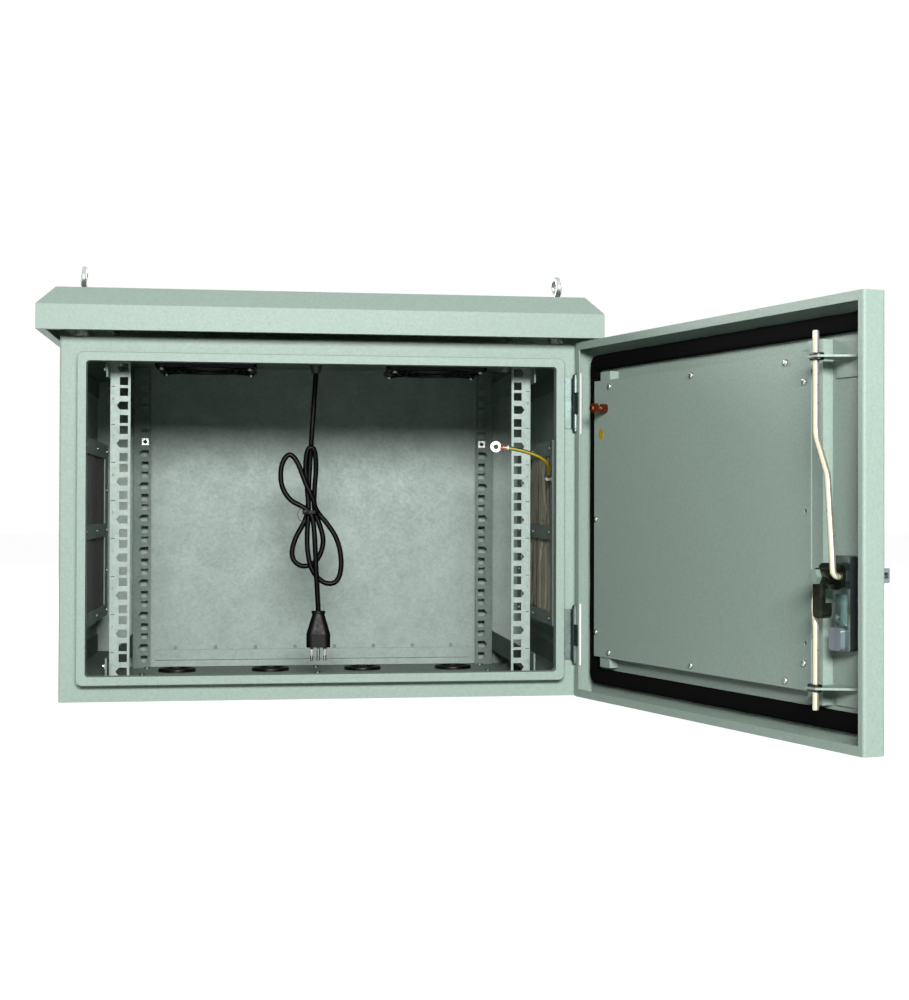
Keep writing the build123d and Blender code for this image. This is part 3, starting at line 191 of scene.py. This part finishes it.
def moulded(name, colour, rough, grain, gloss=0.5):
    """Plastic, rubber, film or ink: faintly mottled, with a fine grain."""
    finish, nodes, links, shader, place = new_finish(name)
    shader.inputs["Specular IOR Level"].default_value = gloss
    mottle = noise(nodes, links, place, 60, 4)
    links.new(two_tone(nodes, links, mottle, colour, 0.8, 1.25), shader.inputs["Base Color"])
    links.new(spread(nodes, links, noise(nodes, links, place, 240), rough - 0.07, rough + 0.09),
              shader.inputs["Roughness"])
    relief(nodes, links, noise(nodes, links, place, grain, 2), shader, 0.25, 0.0002)
    return finish


cord_route = from_mm([
    (-6, -25, 393), (-7.6, -25.4, 371), (-9.2, -25.8, 345), (-11.0, -25, 316), (-12.8, -19.6, 286),
    (-14.6, -18.7, 250), (-15.2, -18.6, 218), (-20.5, -18.5, 202), (-32.5, -18.5, 182),
    (-37, -18.5, 158), (-23, -18.5, 145.5), (-4, -18.5, 152), (5.6, -18.5, 177), (0, -18.6, 200),
    (-8.2, -18.6, 218), (-7.4, -19.4, 246), (-5.2, -23, 274), (-7.2, -28.4, 298),
    (-16.5, -28.6, 299), (-19.6, -25.2, 275), (-16.2, -25, 242), (-14.3, -25, 217),
    (-16.8, -25, 190), (-16, -25, 163), (-9.5, -25, 139.5), (6, -25.2, 124.5), (23, -25.2, 127),
    (27.8, -25.2, 152), (22.5, -25.2, 181), (9, -25.2, 202), (-5.6, -25.4, 218),
    (-8.6, -30.8, 232), (-19.5, -31.2, 254), (-28, -31, 279), (-39, -31, 292.5), (-50, -30.5, 277),
    (-50, -30, 250), (-38.5, -30, 231), (-23, -30.8, 224), (-11, -31.4, 215), (-8, -31.5, 198),
    (-6.4, -31.5, 170), (-5, -30, 140), (-3.4, -27, 113), (-2.0, -25, 91)])
cord_radius = 0.0032
cord_pvc = moulded("cord_pvc", (4, 5, 5), 0.36, 900, 0.16)
power_cord = laid_cord("power_cord", cord_route, cord_radius)
power_cord.data.materials.append(cord_pvc)
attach(power_cord, "cabinet")
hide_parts("power_cord_drop", "power_cord_hank", "power_cord_tail")


# The cord's tie and the plug's pin sleeves: a black nylon strap drawn round the hank, its head in
# front and its spare end curled back at the left, and a white sleeve moulded on each outer pin.

def add_block(shape, low, high):
    """Adds a box between two corners that are given in millimetres."""
    low, high = Vector(low) / 1000, Vector(high) / 1000
    place = Matrix.Translation((low + high) / 2) @ Matrix.Diagonal((*(high - low), 1))
    return bmesh.ops.create_cube(shape, size=1, matrix=place)["verts"]


def add_rod(shape, radii, depth, segments, place):
    """Adds a capped round rod or cone that stands along its own z, centred on its place."""
    bmesh.ops.create_cone(shape, cap_ends=True, segments=segments, radius1=radii[0],
                          radius2=radii[1], depth=depth, matrix=place)


def edges_along(shape, way):
    return [edge for edge in shape.edges
            if abs((edge.verts[1].co - edge.verts[0].co).normalized().dot(Vector(way))) > 0.99]


def round_off(shape, edges, radius, segments):
    bmesh.ops.bevel(shape, geom=edges, offset=radius, offset_type="OFFSET", segments=segments,
                    profile=0.5, affect="EDGES", material=-1)


def open_ring(shape, way, width):
    """Cuts a hole through a block along one axis, which leaves a rim of the given width."""
    ends = [face for face in shape.faces if abs(face.normal.dot(Vector(way))) > 0.9]
    bmesh.ops.inset_individual(shape, faces=ends, thickness=width)
    inner = [edge for face in ends for edge in face.edges]
    bmesh.ops.delete(shape, geom=ends, context="FACES_ONLY")
    bmesh.ops.bridge_loops(shape, edges=inner)


def made_piece(shape, name, finish, body):
    """A visible piece from a bmesh, with soft shading that stays sharp at the real edges."""
    bmesh.ops.recalc_face_normals(shape, faces=shape.faces)
    mesh = as_mesh(shape, name)
    mesh.materials.append(finish)
    mesh.shade_smooth()
    mesh.set_sharp_from_angle(angle=radians(38))
    piece = placed(name, mesh)
    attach(piece, body)
    return piece


strap_corner, strap_thickness = 0.006, 0.0012
strap = bmesh.new()
add_block(strap, (-21.8, -36.6, 214.5), (-1.8, -13.4, 218.5))
round_off(strap, edges_along(strap, (0, 0, 1)), strap_corner, 5)
open_ring(strap, (0, 0, 1), strap_thickness)
head = bmesh.new()
add_block(head, (-22.8, -40.2, 213.5), (-15.5, -36.5, 219.5))
round_off(head, head.edges[:], 0.0007, 2)
curl_centre, curl_radius = Vector((-0.0212, -0.0383, 0.2132)), 0.0088
end_thickness, end_width = 0.0008, 0.0026
curl = bmesh.new()
bmesh.ops.create_grid(
    curl, x_segments=1, y_segments=1, size=0.5,
    matrix=Matrix.Translation(curl_centre + Vector((0, 0, curl_radius))) @ turned(90, "Y")
    @ Matrix.Diagonal((end_thickness, end_width, 1, 1)))
bmesh.ops.spin(curl, geom=curl.verts[:] + curl.edges[:] + curl.faces[:], cent=curl_centre,
               axis=(0, 1, 0), angle=radians(-205), steps=22)
bmesh.ops.scale(curl, verts=curl.verts, vec=(0.84, 1, 1), space=Matrix.Translation(-curl_centre))
for part in (head, curl):
    strap.from_mesh(as_mesh(part, "tie_part"))
cord_tie = made_piece(strap, "cord_tie", cord_pvc, "cabinet")
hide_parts("cable_tie")

sleeve_radii, sleeve_length = (0.00212, 0.00222), 0.0106
sleeves = bmesh.new()
for sleeve_place in from_mm([(-10.3, -25, 39.6), (6.3, -25, 39.6)]):
    add_rod(sleeves, sleeve_radii, sleeve_length, 24, Matrix.Translation(sleeve_place))
round_off(sleeves, [edge for edge in sleeves.edges if len(edge.link_faces) == 2
                    and max(len(face.verts) for face in edge.link_faces) > 4], 0.0003, 2)
sleeve_white = moulded("sleeve_white", (214, 220, 216), 0.4, 900)
pin_sleeves = made_piece(sleeves, "pin_sleeves", sleeve_white, "cabinet")


# The earth wire: stranded copper in a yellow cover with a green stripe. It leaves the stud on the
# right filter plate and crosses in front of the rail to an open ring lug, where its end is bare.

earth_route = from_mm([
    (275.8, -141.8, 264.8), (274.9, -147.5, 268.8), (272.6, -157, 273.3), (267.6, -167, 279.4),
    (259.6, -174, 284.7), (247.4, -176.4, 289.3), (229, -176.2, 294), (219, -176.2, 295)])
earth_wire_radius = 0.002
earth_wire = laid_cord("earth_wire_sleeved", earth_route, earth_wire_radius)
finish, nodes, links, shader, place = new_finish("earth_cover")
facing = nodes.new("ShaderNodeSeparateXYZ")
links.new(nodes["Texture Coordinate"].outputs["Normal"], facing.inputs["Vector"])
links.new(ramp(nodes, links, facing.outputs["Z"], [
    (0.08, rgb(222, 184, 22)), (0.16, rgb(24, 104, 46))]), shader.inputs["Base Color"])
links.new(spread(nodes, links, noise(nodes, links, place, 500), 0.3, 0.45),
          shader.inputs["Roughness"])
relief(nodes, links, noise(nodes, links, place, 800, 2), shader, 0.1, 0.0002)
earth_wire.data.materials.append(finish)
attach(earth_wire, "cabinet")
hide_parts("earth_wire")


def plated(name, colour, rough, metal=0.95, shade=0.86, scale=90):
    """Metal or plating, clouded down to a multiple of its colour, with soft dents."""
    finish, nodes, links, shader, place = new_finish(name)
    cloud = noise(nodes, links, place, scale, 4, 0.6)
    links.new(two_tone(nodes, links, cloud, colour, shade, 1.0), shader.inputs["Base Color"])
    links.new(spread(nodes, links, noise(nodes, links, place, 150), rough - 0.05, rough + 0.06),
              shader.inputs["Roughness"])
    relief(nodes, links, noise(nodes, links, place, 140, 2), shader, 0.03, 0.0002)
    shader.inputs["Metallic"].default_value = metal
    return finish


copper = plated("copper", (190, 98, 66), 0.34, 0.9, 0.6, 300)
wire_end = Matrix.Translation((0.219, -0.1762, 0.295)) @ Vector(
    (10, 0, -1)).to_track_quat("X", "Z").to_matrix().to_4x4()
strand_count, strand_radius, strand_length = 13, 0.00056, 0.0082
strands = bmesh.new()
for turn in range(strand_count):
    lean = Matrix.Rotation(turn * 2 * pi / strand_count, 4, "X") @ Matrix.Translation((
        -0.0042, 0.00232, 0)) @ turned(9, "Y")
    add_rod(strands, (strand_radius, strand_radius), strand_length - 0.0007 * (turn % 3), 8,
            wire_end @ lean @ turned(90, "Y"))
bare_strands = made_piece(strands, "bare_strands", copper, "cabinet")
collar_radii, collar_length = (0.0029, 0.0027), 0.0018
collar = bmesh.new()
add_rod(collar, collar_radii, collar_length, 28,
        wire_end @ Matrix.Translation((0.0012, 0, 0)) @ turned(90, "Y"))
collar_white = moulded("collar_white", (222, 226, 220), 0.4, 900)
wire_collar = made_piece(collar, "wire_collar", collar_white, "cabinet")


# The painted sheet: folded steel under a fine-textured pale grey-green powder coat, which
# covers the body, the rain hood, the door and the pieces welded into the door.

def dress(finish, *names):
    """Gives one finish to pieces that keep their CAD shape."""
    for name in names:
        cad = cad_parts[name]
        cad.data.materials.clear()
        cad.data.materials.append(finish)


def powder_coat(name, colour, grain_depth):
    """A matt coat with two reliefs, a fine one and a coarser one of the given depth."""
    finish, nodes, links, shader, place = new_finish(name)
    sand = noise(nodes, links, place, 340, 5, 0.75)
    links.new(two_tone(nodes, links, sand, colour, 0.95, 1.04), shader.inputs["Base Color"])
    links.new(spread(nodes, links, noise(nodes, links, place, 300), 0.42, 0.58),
              shader.inputs["Roughness"])
    fine = relief(nodes, links, noise(nodes, links, place, 1100, 2), shader, 0.25, 0.0003)
    peel = noise(nodes, links, place, 330, 3, 0.6)
    relief(nodes, links, peel, shader, grain_depth, 0.0008, fine)
    shader.inputs["Specular IOR Level"].default_value = 0.35
    shader.inputs["Coat Weight"].default_value = 0.06
    shader.inputs["Coat Roughness"].default_value = 0.3
    return finish


coat = powder_coat("powder_coat", (178, 200, 188), 0.5)
dress(coat, "body_shell", "rain_hood", "door_pan", "door_stiffeners", "inner_cover", "rod_guides")


# The galvanised sheet: bare zinc-coated steel with a fine soft spangle, for the back panel, the
# gland plate, the front rails and the plates that hold the filters. The rear rails and the side
# bars get a darker and rougher copy of it, whose darker colour is painted shade for where they
# stand deep in the cabinet.

def galvanised(name, colour, dark, rough):
    """Zinc-coated sheet: small crystals of slightly different tone, and soft clouds."""
    finish, nodes, links, shader, place = new_finish(name)
    crystals = nodes.new("ShaderNodeTexVoronoi")
    crystals.inputs["Scale"].default_value = 330
    crystals.inputs["Randomness"].default_value = 1.0
    links.new(place, crystals.inputs["Vector"])
    tone = nodes.new("ShaderNodeSeparateColor")
    links.new(crystals.outputs["Color"], tone.inputs["Color"])
    cloud = noise(nodes, links, place, 38, 6, 0.7)
    blend = nodes.new("ShaderNodeMix")
    blend.data_type = "FLOAT"
    blend.inputs[0].default_value = 0.25
    links.new(cloud, blend.inputs[2])
    links.new(tone.outputs["Red"], blend.inputs[3])
    links.new(ramp(nodes, links, blend.outputs[0], [(0.28, rgb(*dark)), (0.72, rgb(*colour))]),
              shader.inputs["Base Color"])
    links.new(spread(nodes, links, blend.outputs[0], rough + 0.08, rough - 0.06),
              shader.inputs["Roughness"])
    shader.inputs["Metallic"].default_value = 0.05
    shader.inputs["Specular IOR Level"].default_value = 0.25
    relief(nodes, links, noise(nodes, links, place, 700, 3), shader, 0.15, 0.0003)
    return finish


zinc_sheet = galvanised("galvanised_sheet", (192, 209, 200), (172, 190, 181), 0.5)
dress(zinc_sheet, "back_panel", "gland_plate", "back_strip_and_gussets", "front_rail_left",
      "front_rail_right", "filter_plate_left", "filter_plate_right")
# painted shade: the rear rails and side bars take a darker copy of the galvanised sheet
dress(galvanised("shaded_galvanised_sheet", (146, 164, 155), (128, 147, 137), 0.6), "rear_rail_left",
      "rear_rail_right", "side_bars")


# The marks on the front rails: a short black tick at each unit line and a small grey number in
# each unit, printed on the outer strip of the two rails.

units, unit_low, unit_high, rail_face = 9, 0.0076, 0.04445, -0.1734
tick_x, tick_size = 0.2446, (0.0042, 0.00016, 0.0008)
number_x, number_size, number_drop = 0.2447, 0.0056, 0.0143
tick_lift, number_lift, ink = 0.00004, 0.00006, 0.00004
ticks, numbers = bmesh.new(), bmesh.new()
for side in (-1, 1):
    for line in range(units + 1):
        z = unit_low + line * unit_high
        bmesh.ops.create_cube(ticks, size=1, matrix=Matrix.Translation((
            side * tick_x, rail_face - tick_lift, z)) @ Matrix.Diagonal((*tick_size, 1)))
        if line == 0:
            continue
        words = bpy.data.curves.new("number", "FONT")
        words.body = str(line)
        words.size = number_size
        words.align_x, words.align_y = "CENTER", "CENTER"
        words.extrude = ink
        writing = bpy.data.objects.new("number", words)
        letters = bpy.data.meshes.new_from_object(writing)
        letters.transform(Matrix.Translation(
            (side * number_x, rail_face - number_lift, z - number_drop)) @ turned(90, "X"))
        numbers.from_mesh(letters)
        bpy.data.objects.remove(writing)
made_piece(ticks, "rail_ticks", moulded("tick_ink", (24, 28, 27), 0.6, 900), "cabinet")
made_piece(numbers, "rail_numbers", moulded("number_ink", (128, 140, 134), 0.6, 900), "cabinet")


# Plated fasteners and fittings: bright zinc on the rivets, nuts, bolts and lifting rings, a duller
# zinc on the hinges, a pale yellow zinc on the two lock rods and near-black wire for the fan
# guards, whose near-black colour is painted shade for the dark top of the cabinet. The rivets of
# the back strip, which lie beyond the second figure of rear_rivets, are dull like sheet.

bright_zinc = plated("bright_zinc", (222, 226, 221), 0.26)
dress(bright_zinc, "hood_spacers", "lifting_eyes", "body_nuts", "rail_bolts",
      "body_screws", "plug_pins", "wall_stud", "cage_nuts", "earth_lugs")
rivet_zinc = plated("rivet_zinc", (222, 226, 221), 0.26)
nodes, links = rivet_zinc.node_tree.nodes, rivet_zinc.node_tree.links
shader = nodes["Principled BSDF"]
inward = nodes.new("ShaderNodeSeparateXYZ")
links.new(nodes["Texture Coordinate"].outputs["Object"], inward.inputs["Vector"])
rear_rivets = (0.19, 0.2)
zinc_colour = shader.inputs["Base Color"].links[0].from_socket
links.new(mixed(nodes, links, spread(nodes, links, inward.outputs["Y"], 0.0, 1.0, *rear_rivets),
                zinc_colour, rgb(150, 168, 159)), shader.inputs["Base Color"])
links.new(spread(nodes, links, inward.outputs["Y"], 0.95, 0.05, *rear_rivets),
          shader.inputs["Metallic"])
dress(rivet_zinc, "rivets")
dress(plated("hinge_zinc", (118, 136, 131), 0.3, 0.85), "hinge_body_leaves", "hinge_pins",
      "hinge_door_leaves")
dress(plated("yellow_zinc", (240, 236, 208), 0.3, 0.7, 0.97, 30), "upper_rod", "lower_rod")
# painted shade: the fan guards are drawn near black for the dark top of the cabinet
dress(plated("shaded_dark_wire", (34, 37, 36), 0.45, 0.5), "fan_guards")


# The screws of the door's inner cover and of the lock housing: zinc-plated pan heads with a cross
# recess. The door is drawn shut and then swung to the angle at which it stands open.

hinge, rest_angle = Vector((0.294, -0.231, 0)), 106.4
hinged_edge_x, door_skin_y = 292.7, -252.5
swung = Matrix.Translation(hinge) @ turned(rest_angle, "Z") @ Matrix.Translation(-hinge)


def in_door(s, n, z):
    """The place in the shut door, in millimetres: s from its hinged edge, n in from its skin."""
    return Matrix.Translation(((hinged_edge_x - s) / 1000, (door_skin_y + n) / 1000, z / 1000))


def crossed_head(radius, height):
    """The mesh of a pan head that stands on z = 0, with a cross recess in its top."""
    disc = bmesh.new()
    add_rod(disc, (radius, radius * 0.9), height, 32, Matrix.Translation((0, 0, height / 2)))
    brim = [edge for edge in disc.edges if min(v.co.z for v in edge.verts) > height * 0.9]
    round_off(disc, brim, height * 0.5, 4)
    cutter = bmesh.new()
    for turn in (0, 90):
        arm = bmesh.ops.create_cube(cutter, size=1)["verts"]
        bmesh.ops.transform(cutter, verts=arm, matrix=turned(turn, "Z")
                            @ Matrix.Translation((0, 0, height))
                            @ Matrix.Diagonal((radius * 1.15, radius * 0.26, height * 1.1, 1)))
    blank = placed("head", as_mesh(disc, "head"))
    recess = placed("recess", as_mesh(cutter, "recess"))
    cut = blank.modifiers.new("cut", "BOOLEAN")
    cut.operation = "DIFFERENCE"
    cut.object = recess
    cut.use_self = True
    bpy.context.view_layer.update()
    whole = evaluated_mesh(blank)
    for item in (blank, recess):
        bpy.data.objects.remove(item)
    return whole


heads = bmesh.new()
cover_head, housing_head = crossed_head(0.0034, 0.0024), crossed_head(0.0036, 0.003)
cover_face = 14.0
seats = [(s, cover_face, z, cover_head) for s, z in [
    (72.4, 56.1), (72.4, 362.2), (261.2, 56.1), (261.2, 362.2), (444.2, 56.1), (444.2, 362.2),
    (39.0, 209.4), (39.0, 77.9), (476.2, 75.2), (476.2, 341.8)]]
seats += [(541.0, 6.0, 120.5, housing_head)]
for count, (s, n, z, shape) in enumerate(seats):
    driven = shape.copy()
    driven.transform(swung @ in_door(s, n, z) @ turned(-90, "X") @ turned(37 * count, "Z"))
    heads.from_mesh(driven)
cover_screws = made_piece(heads, "cover_screws", bright_zinc, "door")
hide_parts("door_screws")


# The door's earth stud: a copper-plated stud with two nuts, its screw thread cut up to the end.

pitch, turns, steps = 0.001, 19, 24
root_radius, crest_radius = 0.0029, 0.00322
thread = bmesh.new()
crest = [thread.verts.new((radius, 0, z)) for radius, z in (
    (root_radius, 0), (crest_radius, pitch / 2), (root_radius, pitch))]
for low, high in zip(crest, crest[1:]):
    thread.edges.new((low, high))
bmesh.ops.spin(thread, geom=thread.verts[:] + thread.edges[:], cent=(0, 0, 0), axis=(0, 0, 1),
               dvec=(0, 0, pitch / steps), angle=2 * pi * turns, steps=turns * steps)
bmesh.ops.remove_doubles(thread, verts=thread.verts, dist=0.00002)
thread.transform(swung @ in_door(63.0, 13.6, 337.0) @ turned(-90, "X"))
made_piece(thread, "earth_stud_thread", copper, "door")
dress(copper, "door_earth_stud")


# The lock and its handle: chromed die castings, with the cam and its tongue in dark nickel and
# the key cylinder in plain grey.

dress(plated("lock_chrome", (176, 198, 195), 0.17, 0.92, 0.9), "lock_housing")
dress(plated("dark_nickel", (88, 96, 78), 0.22, 0.9, 0.5, 60), "cam_plate", "lock_tongue")
dress(plated("green_zinc", (168, 194, 180), 0.34, 0.5, 0.9, 60), "cam_bolt", "lock_spindle")
dress(plated("grey_casting", (152, 165, 170), 0.36, 0.45, 0.95), "lock_cylinder", "handle_base",
      "lever_with_pin")


# The door's gasket: a strip of black sponge laid round the door in one piece, 18 mm wide, with a
# crowned top that the rim of the cabinet presses into.

foam_width, foam_corner, crown_radius = 0.018, 0.013, 0.0034
foam_back, foam_front = -251.0, -243.5
foam = bmesh.new()
add_block(foam, (-283.0, foam_back, 16.0), (283.0, foam_front, 402.0))
round_off(foam, edges_along(foam, (0, 1, 0)), foam_corner, 4)
open_ring(foam, (0, 1, 0), foam_width)
crown = [edge for edge in foam.edges
         if min(v.co.y for v in edge.verts) > (foam_front - 0.1) / 1000
         and len({round(face.normal.y) for face in edge.link_faces}) > 1]
round_off(foam, crown, crown_radius, 4)
bmesh.ops.subdivide_edges(foam, edges=[edge for edge in foam.edges if edge.calc_length() > 0.2],
                          cuts=60, use_grid_fill=True)
for vert in foam.verts:
    if vert.co.y > (foam_back + 1.0) / 1000:
        vert.co += sponge.noise_vector(vert.co * 28) * 0.0004
foam.transform(swung)
foam_finish, nodes, links, shader, place = new_finish("gasket_sponge")
cells = noise(nodes, links, place, 900, 4, 0.7)
links.new(ramp(nodes, links, cells, [(0.3, rgb(3, 3, 3)), (0.7, rgb(9, 9, 9))]),
          shader.inputs["Base Color"])
links.new(spread(nodes, links, cells, 0.8, 0.95), shader.inputs["Roughness"])
shader.inputs["Specular IOR Level"].default_value = 0.06
relief(nodes, links, cells, shader, 0.5, 0.0006)
gasket = made_piece(foam, "door_foam", foam_finish, "door")
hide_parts("door_gasket")


# The filter mats: soft fibre pads, two behind the windows of each side plate. The right pair is
# pale cloth in loose upright folds, the left pair a flatter ribbed cloth whose dark colours are
# painted shade.

def drawn_out(nodes, links, place, squeeze):
    """The place with its height squeezed, which draws a pattern on it out into upright streaks."""
    mapping = nodes.new("ShaderNodeMapping")
    mapping.inputs["Scale"].default_value = (1, 1, squeeze)
    links.new(place, mapping.inputs["Vector"])
    return mapping.outputs["Vector"]


def fibre(name, pale, dark, stain, ribs):
    """Felted cloth: fine upright hairs, a stain in clouds, painted fold shade and woven ribs."""
    finish, nodes, links, shader, place = new_finish(name)
    hairs = noise(nodes, links, drawn_out(nodes, links, place, 0.18), 420, 5, 0.7)
    soil = noise(nodes, links, place, 26, 4, 0.6)
    folds = noise(nodes, links, drawn_out(nodes, links, place, 0.14), 62, 3, 0.5)
    base = ramp(nodes, links, hairs, [(0.32, rgb(*dark)), (0.62, rgb(*pale))])
    # painted shade: the upright fold streaks darken the cloth as shade in folds would
    fold_shade = ramp(nodes, links, folds, [(0.38, rgb(140, 132, 112)), (0.46, rgb(255, 255, 255))])
    tint = mixed(nodes, links, spread(nodes, links, soil, 0.0, 0.75), base, rgb(*stain))
    links.new(mixed(nodes, links, 1.0, tint, fold_shade, "MULTIPLY"), shader.inputs["Base Color"])
    rows = nodes.new("ShaderNodeTexWave")
    rows.bands_direction = "Y"
    rows.inputs["Scale"].default_value = ribs
    rows.inputs["Distortion"].default_value = 2.0
    rows.inputs["Detail"].default_value = 3.0
    links.new(place, rows.inputs["Vector"])
    fine = relief(nodes, links, hairs, shader, 0.5, 0.0008)
    relief(nodes, links, rows.outputs["Fac"], shader, 0.4, 0.0008, fine)
    shader.inputs["Roughness"].default_value = 0.93
    shader.inputs["Specular IOR Level"].default_value = 0.15
    shader.inputs["Sheen Weight"].default_value = 0.25
    shader.inputs["Sheen Roughness"].default_value = 0.6
    return finish


def swell(piece, voxel, pressure, most, moments=20):
    """Remeshes a soft piece and fills it out as cloth under pressure, with a limit to the move."""
    bpy.context.view_layer.objects.active = piece
    piece.data.remesh_voxel_size = voxel
    with bpy.context.temp_override(active_object=piece, object=piece, selected_objects=[piece]):
        bpy.ops.object.voxel_remesh()
    start = [vert.co.copy() for vert in piece.data.vertices]
    cloth = piece.modifiers.new("cloth", "CLOTH")
    cloth.settings.use_pressure = True
    cloth.settings.uniform_pressure_force = pressure
    cloth.settings.quality = 6
    cloth.settings.mass = 0.2
    cloth.settings.tension_stiffness = 12
    cloth.settings.bending_stiffness = 0.4
    cloth.settings.effector_weights.gravity = 0
    cloth.collision_settings.use_self_collision = False
    scene = bpy.context.scene
    for moment in range(1, moments + 1):
        scene.frame_set(moment)
    puffed = evaluated_mesh(piece)
    piece.modifiers.remove(cloth)
    scene.frame_set(1)
    for vert, new, old in zip(piece.data.vertices, puffed.vertices, start):
        shift = new.co - old
        vert.co = old + shift * min(1.0, most / max(shift.length, 1e-9))
    finer = bmesh.new()
    finer.from_mesh(piece.data)
    bmesh.ops.subdivide_edges(finer, edges=finer.edges[:], cuts=1, use_grid_fill=True, smooth=0.6)
    finer.to_mesh(piece.data)
    finer.free()


windows, mat_x, mat_y, mat_width = ((0.093, 0.183), (0.201, 0.287)), 0.2843, -0.0015, 0.260
mat_thickness, mat_inner, mat_outer = 0.0036, 0.2812, 0.2908


def filter_mats(name, side, fold, seed, finish):
    """Two folded pads behind the windows of one side, as deep as fold and kept in their tray."""
    pads = bmesh.new()
    for low, high in windows:
        sheet = bmesh.new()
        bmesh.ops.create_grid(
            sheet, x_segments=72, y_segments=26, size=0.5,
            matrix=Matrix.Translation((side * mat_x, mat_y, (low + high) / 2)) @ turned(90, "Z")
            @ turned(90, "X") @ Matrix.Diagonal((mat_width, high - low + 0.003, 1, 1)))
        for vert in sheet.verts:
            sway = 0.012 * sponge.noise(Vector((seed, vert.co.y * 12, vert.co.z * 16)))
            along = vert.co.y + sway
            wave = abs(sponge.noise(Vector((along * 22, vert.co.z * 5, seed + low * 50))))
            crease = max(0.0, 1 - wave / 0.14) ** 1.6
            swing = sponge.noise(Vector((along * 46, vert.co.z * 6, seed + 20)))
            vert.co.x += side * (fold * crease + fold * 1.1 * swing
                                 + 0.0006 * sponge.noise(vert.co * 90))
        bmesh.ops.solidify(sheet, geom=sheet.faces[:], thickness=side * mat_thickness)
        bmesh.ops.recalc_face_normals(sheet, faces=sheet.faces)
        pads.from_mesh(as_mesh(sheet, "mat"))
    mats = made_piece(pads, name, finish, "cabinet")
    swell(mats, 0.0031, 2.5, 0.0012)
    for vert in mats.data.vertices:
        vert.co.x = side * min(max(side * vert.co.x, mat_inner), mat_outer)
    mats.data.shade_smooth()
    return mats


pale_fibre = fibre("pale_fibre", (244, 238, 210), (198, 190, 160), (206, 192, 146), 60)
right_mats = filter_mats("cloth_mats_right", 1, 0.0046, 3.7, pale_fibre)
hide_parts("filter_mats_right")
# painted shade: the left pads take the fibre in dark colours for the shade on that side
shaded_fibre = fibre("shaded_fibre", (56, 52, 40), (27, 25, 20), (74, 70, 50), 90)
left_mats = filter_mats("cloth_mats_left", -1, 0.0018, 8.1, shaded_fibre)
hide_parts("filter_mats_left")


# Rubber and plastic: the floor grommets and rod bushes are moulded rubber, the fans and the plug
# are black plastic, the wiring box and the cord's gland are grey, and the door's plain round
# sticker is a yellow film.

dress(moulded("grommet_rubber", (14, 15, 15), 0.3, 700), "floor_grommets", "rod_bushes")
dress(moulded("fan_plastic", (9, 10, 10), 0.45, 900, 0.25), "fan_rotor_left",
      "fan_rotor_right", "fan_housings", "plug_body")
dress(moulded("grey_plastic", (96, 104, 101), 0.5, 900), "fan_wiring_box", "cord_gland")
dress(moulded("disc_film", (205, 168, 38), 0.4, 900), "marker_disc")


# The floor and the light: a plain pale floor that goes to white, one broad lamp ahead of the
# cabinet, of which a small part is let bounce about inside it, two lamps behind for its back and
# sides, and a soft even surround.

def shown_white(tree):
    """A node output: 1 for what sees the surface straight, mirrored or through glass, else 0."""
    path = tree.nodes.new("ShaderNodeLightPath")
    seen = path.outputs["Is Camera Ray"]
    for ray in ("Is Glossy Ray", "Is Transmission Ray"):
        either = tree.nodes.new("ShaderNodeMath")
        either.operation = "ADD"
        either.use_clamp = True
        tree.links.new(seen, either.inputs[0])
        tree.links.new(path.outputs[ray], either.inputs[1])
        seen = either.outputs[0]
    return seen


floor_reach, floor_gap = 14, 0.0008
ground = bmesh.new()
bmesh.ops.create_grid(ground, x_segments=1, y_segments=1, size=floor_reach)
bmesh.ops.translate(ground, verts=ground.verts, vec=(0, 0, -floor_gap))
floor = placed("floor", as_mesh(ground, "floor"))
floor_finish = bpy.data.materials.new("pale_floor")
floor_finish.use_nodes = True
tree = floor_finish.node_tree
shader = tree.nodes["Principled BSDF"]
shader.inputs["Base Color"].default_value = (0.8, 0.8, 0.8, 1)
shader.inputs["Roughness"].default_value = 0.9
shader.inputs["Specular IOR Level"].default_value = 0.1
shader.inputs["Emission Color"].default_value = (1, 1, 1, 1)
glow = tree.nodes.new("ShaderNodeMath")
glow.operation = "MULTIPLY"
glow.inputs[1].default_value = 0.9
tree.links.new(shown_white(tree), glow.inputs[0])
tree.links.new(glow.outputs[0], shader.inputs["Emission Strength"])
floor.data.materials.append(floor_finish)

world = bpy.data.worlds.new("surround")
bpy.context.scene.world = world
world.use_nodes = True
tree = world.node_tree
background = tree.nodes["Background"]
background.inputs["Color"].default_value = (1, 1, 1, 1)
surround_light, surround_seen = 0.035, 1.0
tree.links.new(spread(tree.nodes, tree.links, shown_white(tree), surround_light, surround_seen,
                      0.0, 1.0), background.inputs["Strength"])


def soft_lamp(name, place, aim, size, power, bounces):
    """A round or oval lamp at a place, aimed at a point, whose light bounces a limited number."""
    lamp = placed(name, bpy.data.lights.new(name, "AREA"))
    lamp.data.shape = "ELLIPSE"
    lamp.data.size, lamp.data.size_y = size
    lamp.data.energy = power
    lamp.data.cycles.max_bounces = bounces
    lamp.matrix_world = Matrix.Translation(place) @ (
        Vector(aim) - Vector(place)).to_track_quat("-Z", "Y").to_matrix().to_4x4()


key_place, key_aim, key_size = (0.02, -3.1, 0.94), (0, 0, 0.34), (1.2, 0.5)
rear_aim, rear_size = (0, 0.1, 0.25), (1.0, 1.0)
soft_lamp("key_lamp", key_place, key_aim, key_size, 68, 0)
soft_lamp("key_glow", key_place, key_aim, key_size, 12, 8)
soft_lamp("rear_left_lamp", (-2.0, 2.3, 1.3), rear_aim, rear_size, 46, 8)
soft_lamp("rear_right_lamp", (2.0, 2.3, 1.3), rear_aim, rear_size, 46, 8)
bpy.context.scene.view_settings.view_transform = "Standard"
